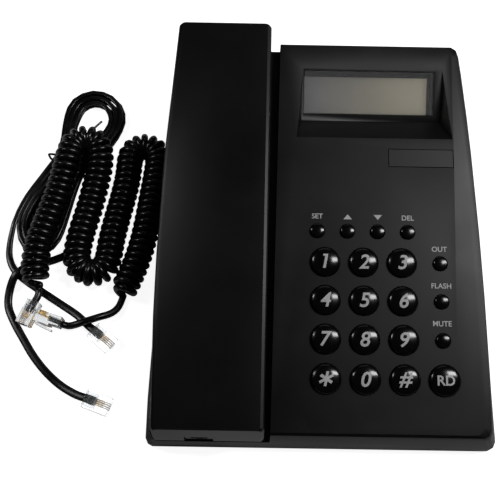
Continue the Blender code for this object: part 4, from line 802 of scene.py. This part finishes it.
hankPath = hankLine()
shortPath = leadLine(hankPath[-1], hankPath[-2], leadShortRoute)
longPath = leadLine(hankPath[0], hankPath[1], leadLongRoute)
linePath = np.vstack((longPath[::-1][:-1], hankPath, shortPath[1:]))
lineLengths = runLengths(linePath)
longRun, shortRun = runLengths(longPath)[-1], runLengths(shortPath)[-1]
blendRun = lineCord["blendRun"]
intoHank = np.clip((lineLengths - longRun + blendRun) / blendRun, 0, 1)
outOfHank = np.clip((lineLengths[-1] - shortRun + blendRun - lineLengths) / blendRun, 0, 1)
inHank = np.minimum(intoHank, outOfHank)
inHank = inHank * inHank * (3 - 2 * inHank)
lineSizes = 1 - (1 - lineCord["hankShrink"]) * inHank


def squared(share, corner):
    return math.copysign(abs(share) ** corner, share)


def flatProfile():
    data = bpy.data.curves.new("cordSection", "CURVE")
    data.dimensions = "2D"
    spline = data.splines.new("POLY")
    halfWide, halfThick = lineCord["flatWidth"] / 2, lineCord["flatThick"] / 2
    spline.points.add(lineCord["sectionSides"] - 1)
    for i, target in enumerate(spline.points):
        turn = fullTurn * i / lineCord["sectionSides"]
        across = squared(math.cos(turn), lineCord["sideCorner"])
        up = squared(math.sin(turn), lineCord["topCorner"])
        target.co = (across * halfWide, up * halfThick, 0, 1)
    spline.use_cyclic_u = True
    return bpy.data.objects.new("cordSection", data)


def sweptCord(name, points, sizes):
    section = flatProfile()
    bpy.context.scene.collection.objects.link(section)
    holder = bpy.data.objects.new(name, cordCurve(name, points, profile=section, sizes=sizes))
    bpy.context.scene.collection.objects.link(holder)
    mesh = applied(holder)
    bpy.data.objects.remove(holder)
    bpy.data.objects.remove(section)
    bm = bmesh.new()
    bm.from_mesh(mesh)
    bmesh.ops.remove_doubles(bm, verts=bm.verts, dist=weld["cord"])
    bmesh.ops.recalc_face_normals(bm, faces=bm.faces)
    return toMesh(name, bm, cordFinish, angle=50)


linePiece = addPiece("lineCord", sweptCord("lineCord", linePath, lineSizes), "base",
                     ("line_cord_hank", "line_cord_lead_short", "line_cord_lead_long"))

# The twist tie round the hank's waist

tie = {
    "wire": 0.65 * mm, "x": -0.1397, "y": 0.0570, "turn": -10, "start": 86, "sweep": -356,
    "halfSpan": 16 * mm, "corner": 0.35, "low": 0.80 * mm, "high": 8.95 * mm, "points": 48,
    "endStep": 1.2 * mm,
}
tieTail = [(-0.1262, 0.0822, 0.0082), (-0.1316, 0.0752, 0.0087), (-0.1345, 0.0680, 0.0090)]
tieEnd = [(-0.1392, 0.0632, 0.0091), (-0.1378, 0.0695, 0.0089), (-0.1348, 0.0756, 0.0086)]


def tieLine():
    turned = math.radians(tie["turn"])
    across = Vector((math.cos(turned), math.sin(turned), 0))
    middle = Vector((tie["x"], tie["y"], (tie["low"] + tie["high"]) / 2))
    halfTall = (tie["high"] - tie["low"]) / 2
    ring = []
    for i in range(tie["points"] + 1):
        turn = math.radians(tie["start"] + tie["sweep"] * i / tie["points"])
        reach = squared(math.cos(turn), tie["corner"])
        rise = squared(math.sin(turn), tie["corner"])
        ring.append(middle + across * tie["halfSpan"] * reach + Vector((0, 0, halfTall * rise)))
    tail = evenLine(tieTail + [tuple(ring[0])], tie["endStep"])[:-1]
    end = evenLine([tuple(ring[-1])] + tieEnd, tie["endStep"])[1:]
    return np.vstack((tail, np.array(ring), end))


tieCurve = cordCurve("cordTie", tieLine(), tie["wire"], 3)
tiePiece = addPiece("cordTie", tieCurve, "base", ("cord_tie",))

# Clear plugs with their contacts

plug = {
    "height": 6.4 * mm, "length": 13.8 * mm, "neck": 5.2 * mm, "edge": 0.22 * mm,
    "contacts": 4, "contactPitch": 1.02 * mm, "ahead": 0.3 * mm,
}
bore = {"back": 1.0 * mm, "wall": 1.1 * mm, "half": 1.55 * mm, "spare": 0.4 * mm}
slot = {"start": 4.6 * mm, "end": 0.5 * mm, "half": 0.24 * mm, "below": 1.0 * mm, "deep": 3.2 * mm}
notch = {"start": 1.0 * mm, "end": 3.4 * mm, "half": 1.7 * mm, "deep": 1.9 * mm, "above": 0.2 * mm}
contact = {
    "start": 4.5 * mm, "end": 0.6 * mm, "half": 0.15 * mm, "low": 0.3 * mm, "top": 3.1 * mm,
    "edge": 0.06 * mm,
}
jacket = {"run": 6.4 * mm, "back": 0.5 * mm, "edge": 0.5 * mm}
core = {"radius": 0.38 * mm, "length": 3.6 * mm, "ahead": 1.6 * mm, "drop": 0.3 * mm, "sides": 10}
plugKinds = {
    "handset": {"width": 7.65 * mm, "jacketWidth": 3.2 * mm, "jacketThick": 2.6 * mm},
    "line": {"width": 9.65 * mm, "jacketWidth": 4.4 * mm, "jacketThick": 2.4 * mm},
}
contactPlaces = [
    (i - (plug["contacts"] - 1) / 2) * plug["contactPitch"] for i in range(plug["contacts"])
]


def plugPlace(line, roll):
    ahead = Vector(line[-1] - line[-2])
    ahead.z = 0
    ahead.normalize()
    place = Matrix.Translation(Vector(line[-1]) + ahead * plug["ahead"])
    place = place @ Matrix.Rotation(math.atan2(ahead.y, ahead.x), 4, "Z")
    return place @ Matrix.Rotation(roll, 4, "X")


def plugCutter(width):
    cutter = bmesh.new()
    half, wide = plug["height"] / 2, width / 2 - bore["wall"]
    length, neck = plug["length"], plug["neck"]
    addBlock(cutter, (-bore["back"], -wide, -bore["half"]),
             (jacket["run"] + bore["spare"], wide, bore["half"]))
    for across in contactPlaces:
        addBlock(cutter, (length - slot["start"], across - slot["half"], -half - slot["below"]),
                 (length - slot["end"], across + slot["half"], -half + slot["deep"]))
    addBlock(cutter, (neck + notch["start"], -notch["half"], half - notch["deep"]),
             (neck + notch["end"], notch["half"], half + notch["above"]))
    return cutter


def carvedPlug(name, width, node, place):
    body = bmesh.new()
    body.from_mesh(nodes[node].data)
    bmesh.ops.remove_doubles(body, verts=body.verts, dist=weld["usual"])
    body.transform(place.inverted())
    holders = []
    for ending, shape in (("Holder", body), ("Tool", plugCutter(width))):
        mesh = bpy.data.meshes.new(name + ending)
        shape.to_mesh(mesh)
        shape.free()
        holders.append(bpy.data.objects.new(name + ending, mesh))
        bpy.context.scene.collection.objects.link(holders[-1])
    cut = holders[0].modifiers.new("carve", "BOOLEAN")
    cut.operation = "DIFFERENCE"
    cut.solver = "EXACT"
    cut.object = holders[1]
    carved = bmesh.new()
    carved.from_mesh(applied(holders[0]))
    for holder in holders:
        bpy.data.objects.remove(holder)
    bmesh.ops.remove_doubles(carved, verts=carved.verts, dist=weld["usual"])
    bmesh.ops.dissolve_limit(carved, angle_limit=math.radians(0.5), verts=carved.verts,
                             edges=carved.edges)
    mesh = toMesh(name, carved, plugFinish, place, 30)
    piece = addPiece(name, mesh, "base", (node,))
    addRounding(piece, plug["edge"], 2, 30)
    return piece


def bevelAll(bm, width, segments):
    bmesh.ops.bevel(bm, geom=bm.edges[:], offset=width, segments=segments, profile=0.5,
                    affect="EDGES", material=-1)


def plugInside(name, place, kind):
    wide, thick = kind["jacketWidth"] / 2, kind["jacketThick"] / 2
    half, length = plug["height"] / 2, plug["length"]
    sheath = bmesh.new()
    addBlock(sheath, (-jacket["back"], -wide, -thick), (jacket["run"], wide, thick))
    bevelAll(sheath, jacket["edge"], 3)
    gold = bmesh.new()
    for across in contactPlaces:
        addBlock(gold, (length - contact["start"], across - contact["half"], -half + contact["low"]),
                 (length - contact["end"], across + contact["half"], -half + contact["top"]))
    bevelAll(gold, contact["edge"], 2)
    wires = bmesh.new()
    for across in contactPlaces:
        made = bmesh.ops.create_cone(wires, cap_ends=True, segments=core["sides"],
                                     radius1=core["radius"], radius2=core["radius"],
                                     depth=core["length"])["verts"]
        bmesh.ops.rotate(wires, cent=(0, 0, 0), matrix=Matrix.Rotation(math.pi / 2, 3, "Y"),
                         verts=made)
        bmesh.ops.translate(wires, vec=(jacket["run"] + core["ahead"], across, -core["drop"]),
                            verts=made)
    inside = (("Jacket", sheath, cordFinish, "cord"), ("Contacts", gold, goldFinish, "steel"),
              ("Wires", wires, goldFinish, "steel"))
    return [addPiece(name + ending, toMesh(name + ending, bm, finish, place), "base")
            for ending, bm, finish, kindSlot in inside]


plugJobs = {
    "plugFar": ("handset_plug_far", "handset", plugPlace(curlyPath[1::-1], 0.0)),
    "plugNear": ("handset_plug_near", "handset", plugPlace(curlyPath, -math.pi / 2)),
    "plugShort": ("line_plug_short", "line", plugPlace(shortPath, 0.0)),
    "plugLong": ("line_plug_long", "line", plugPlace(longPath, 0.0)),
}
plugPieces = {}
for plugName, (plugNode, plugKind, plugAt) in plugJobs.items():
    kindSizes = plugKinds[plugKind]
    plugPieces[plugName] = [carvedPlug(plugName, kindSizes["width"], plugNode, plugAt)]
    plugPieces[plugName] += plugInside(plugName, plugAt, kindSizes)
print("plugs made")

# Floor, light and background

room = {"floorReach": 3.0, "floorGrey": 0.86, "floorGlow": 0.92, "worldLight": 0.02}
softboxes = {
    "rightBox": {
        "place": (0.74, 0.16, 1.10), "target": (0.05, 0.0, 0.03), "size": (0.24, 0.62), "power": 8,
    },
    "leftBox": {
        "place": (-0.85, 0.25, 1.0), "target": (-0.08, 0.0, 0.02), "size": (0.22, 0.30), "power": 2.2,
    },
    "backBox": {
        "place": (0.05, 1.1, 0.9), "target": (0, 0, 0.03), "size": (0.9, 0.3), "power": 0.35,
    },
}


def seenStraight(tree):
    path = tree.nodes.new("ShaderNodeLightPath")
    seen = tree.nodes.new("ShaderNodeMath")
    seen.operation = "MAXIMUM"
    tree.links.new(path.outputs["Is Camera Ray"], seen.inputs[0])
    tree.links.new(path.outputs["Is Transmission Ray"], seen.inputs[1])
    return seen.outputs[0]


def addFloor():
    bm = bmesh.new()
    bmesh.ops.create_grid(bm, x_segments=1, y_segments=1, size=room["floorReach"])
    finish, tree, shader = newFinish("paleFloor", (room["floorGrey"],) * 3, 0.9, 0.1)
    glow = tree.nodes.new("ShaderNodeMath")
    glow.operation = "MULTIPLY"
    glow.inputs[1].default_value = room["floorGlow"]
    tree.links.new(seenStraight(tree), glow.inputs[0])
    shader.inputs["Emission Color"].default_value = (1, 1, 1, 1)
    tree.links.new(glow.outputs[0], shader.inputs["Emission Strength"])
    mesh = toMesh("floor", bm, finish)
    floor = bpy.data.objects.new("floor", mesh)
    bpy.context.scene.collection.objects.link(floor)


def addWorld():
    world = bpy.data.worlds.new("studio")
    bpy.context.scene.world = world
    world.use_nodes = True
    tree = world.node_tree
    background = tree.nodes["Background"]
    background.inputs["Color"].default_value = (1, 1, 1, 1)
    level = tree.nodes.new("ShaderNodeMapRange")
    level.inputs["To Min"].default_value = room["worldLight"]
    level.inputs["To Max"].default_value = 1.0
    tree.links.new(seenStraight(tree), level.inputs["Value"])
    tree.links.new(level.outputs["Result"], background.inputs["Strength"])


def addSoftbox(name, look):
    data = bpy.data.lights.new(name, "AREA")
    data.shape = "RECTANGLE"
    data.size, data.size_y = look["size"]
    data.energy = look["power"]
    lamp = bpy.data.objects.new(name, data)
    toward = Vector(look["target"]) - Vector(look["place"])
    turn = toward.to_track_quat("-Z", "Y").to_matrix().to_4x4()
    lamp.matrix_world = Matrix.Translation(look["place"]) @ turn
    bpy.context.scene.collection.objects.link(lamp)


addFloor()
addWorld()
for boxName, boxLook in softboxes.items():
    addSoftbox(boxName, boxLook)
bpy.context.scene.view_settings.view_transform = "Standard"
print("room ready")
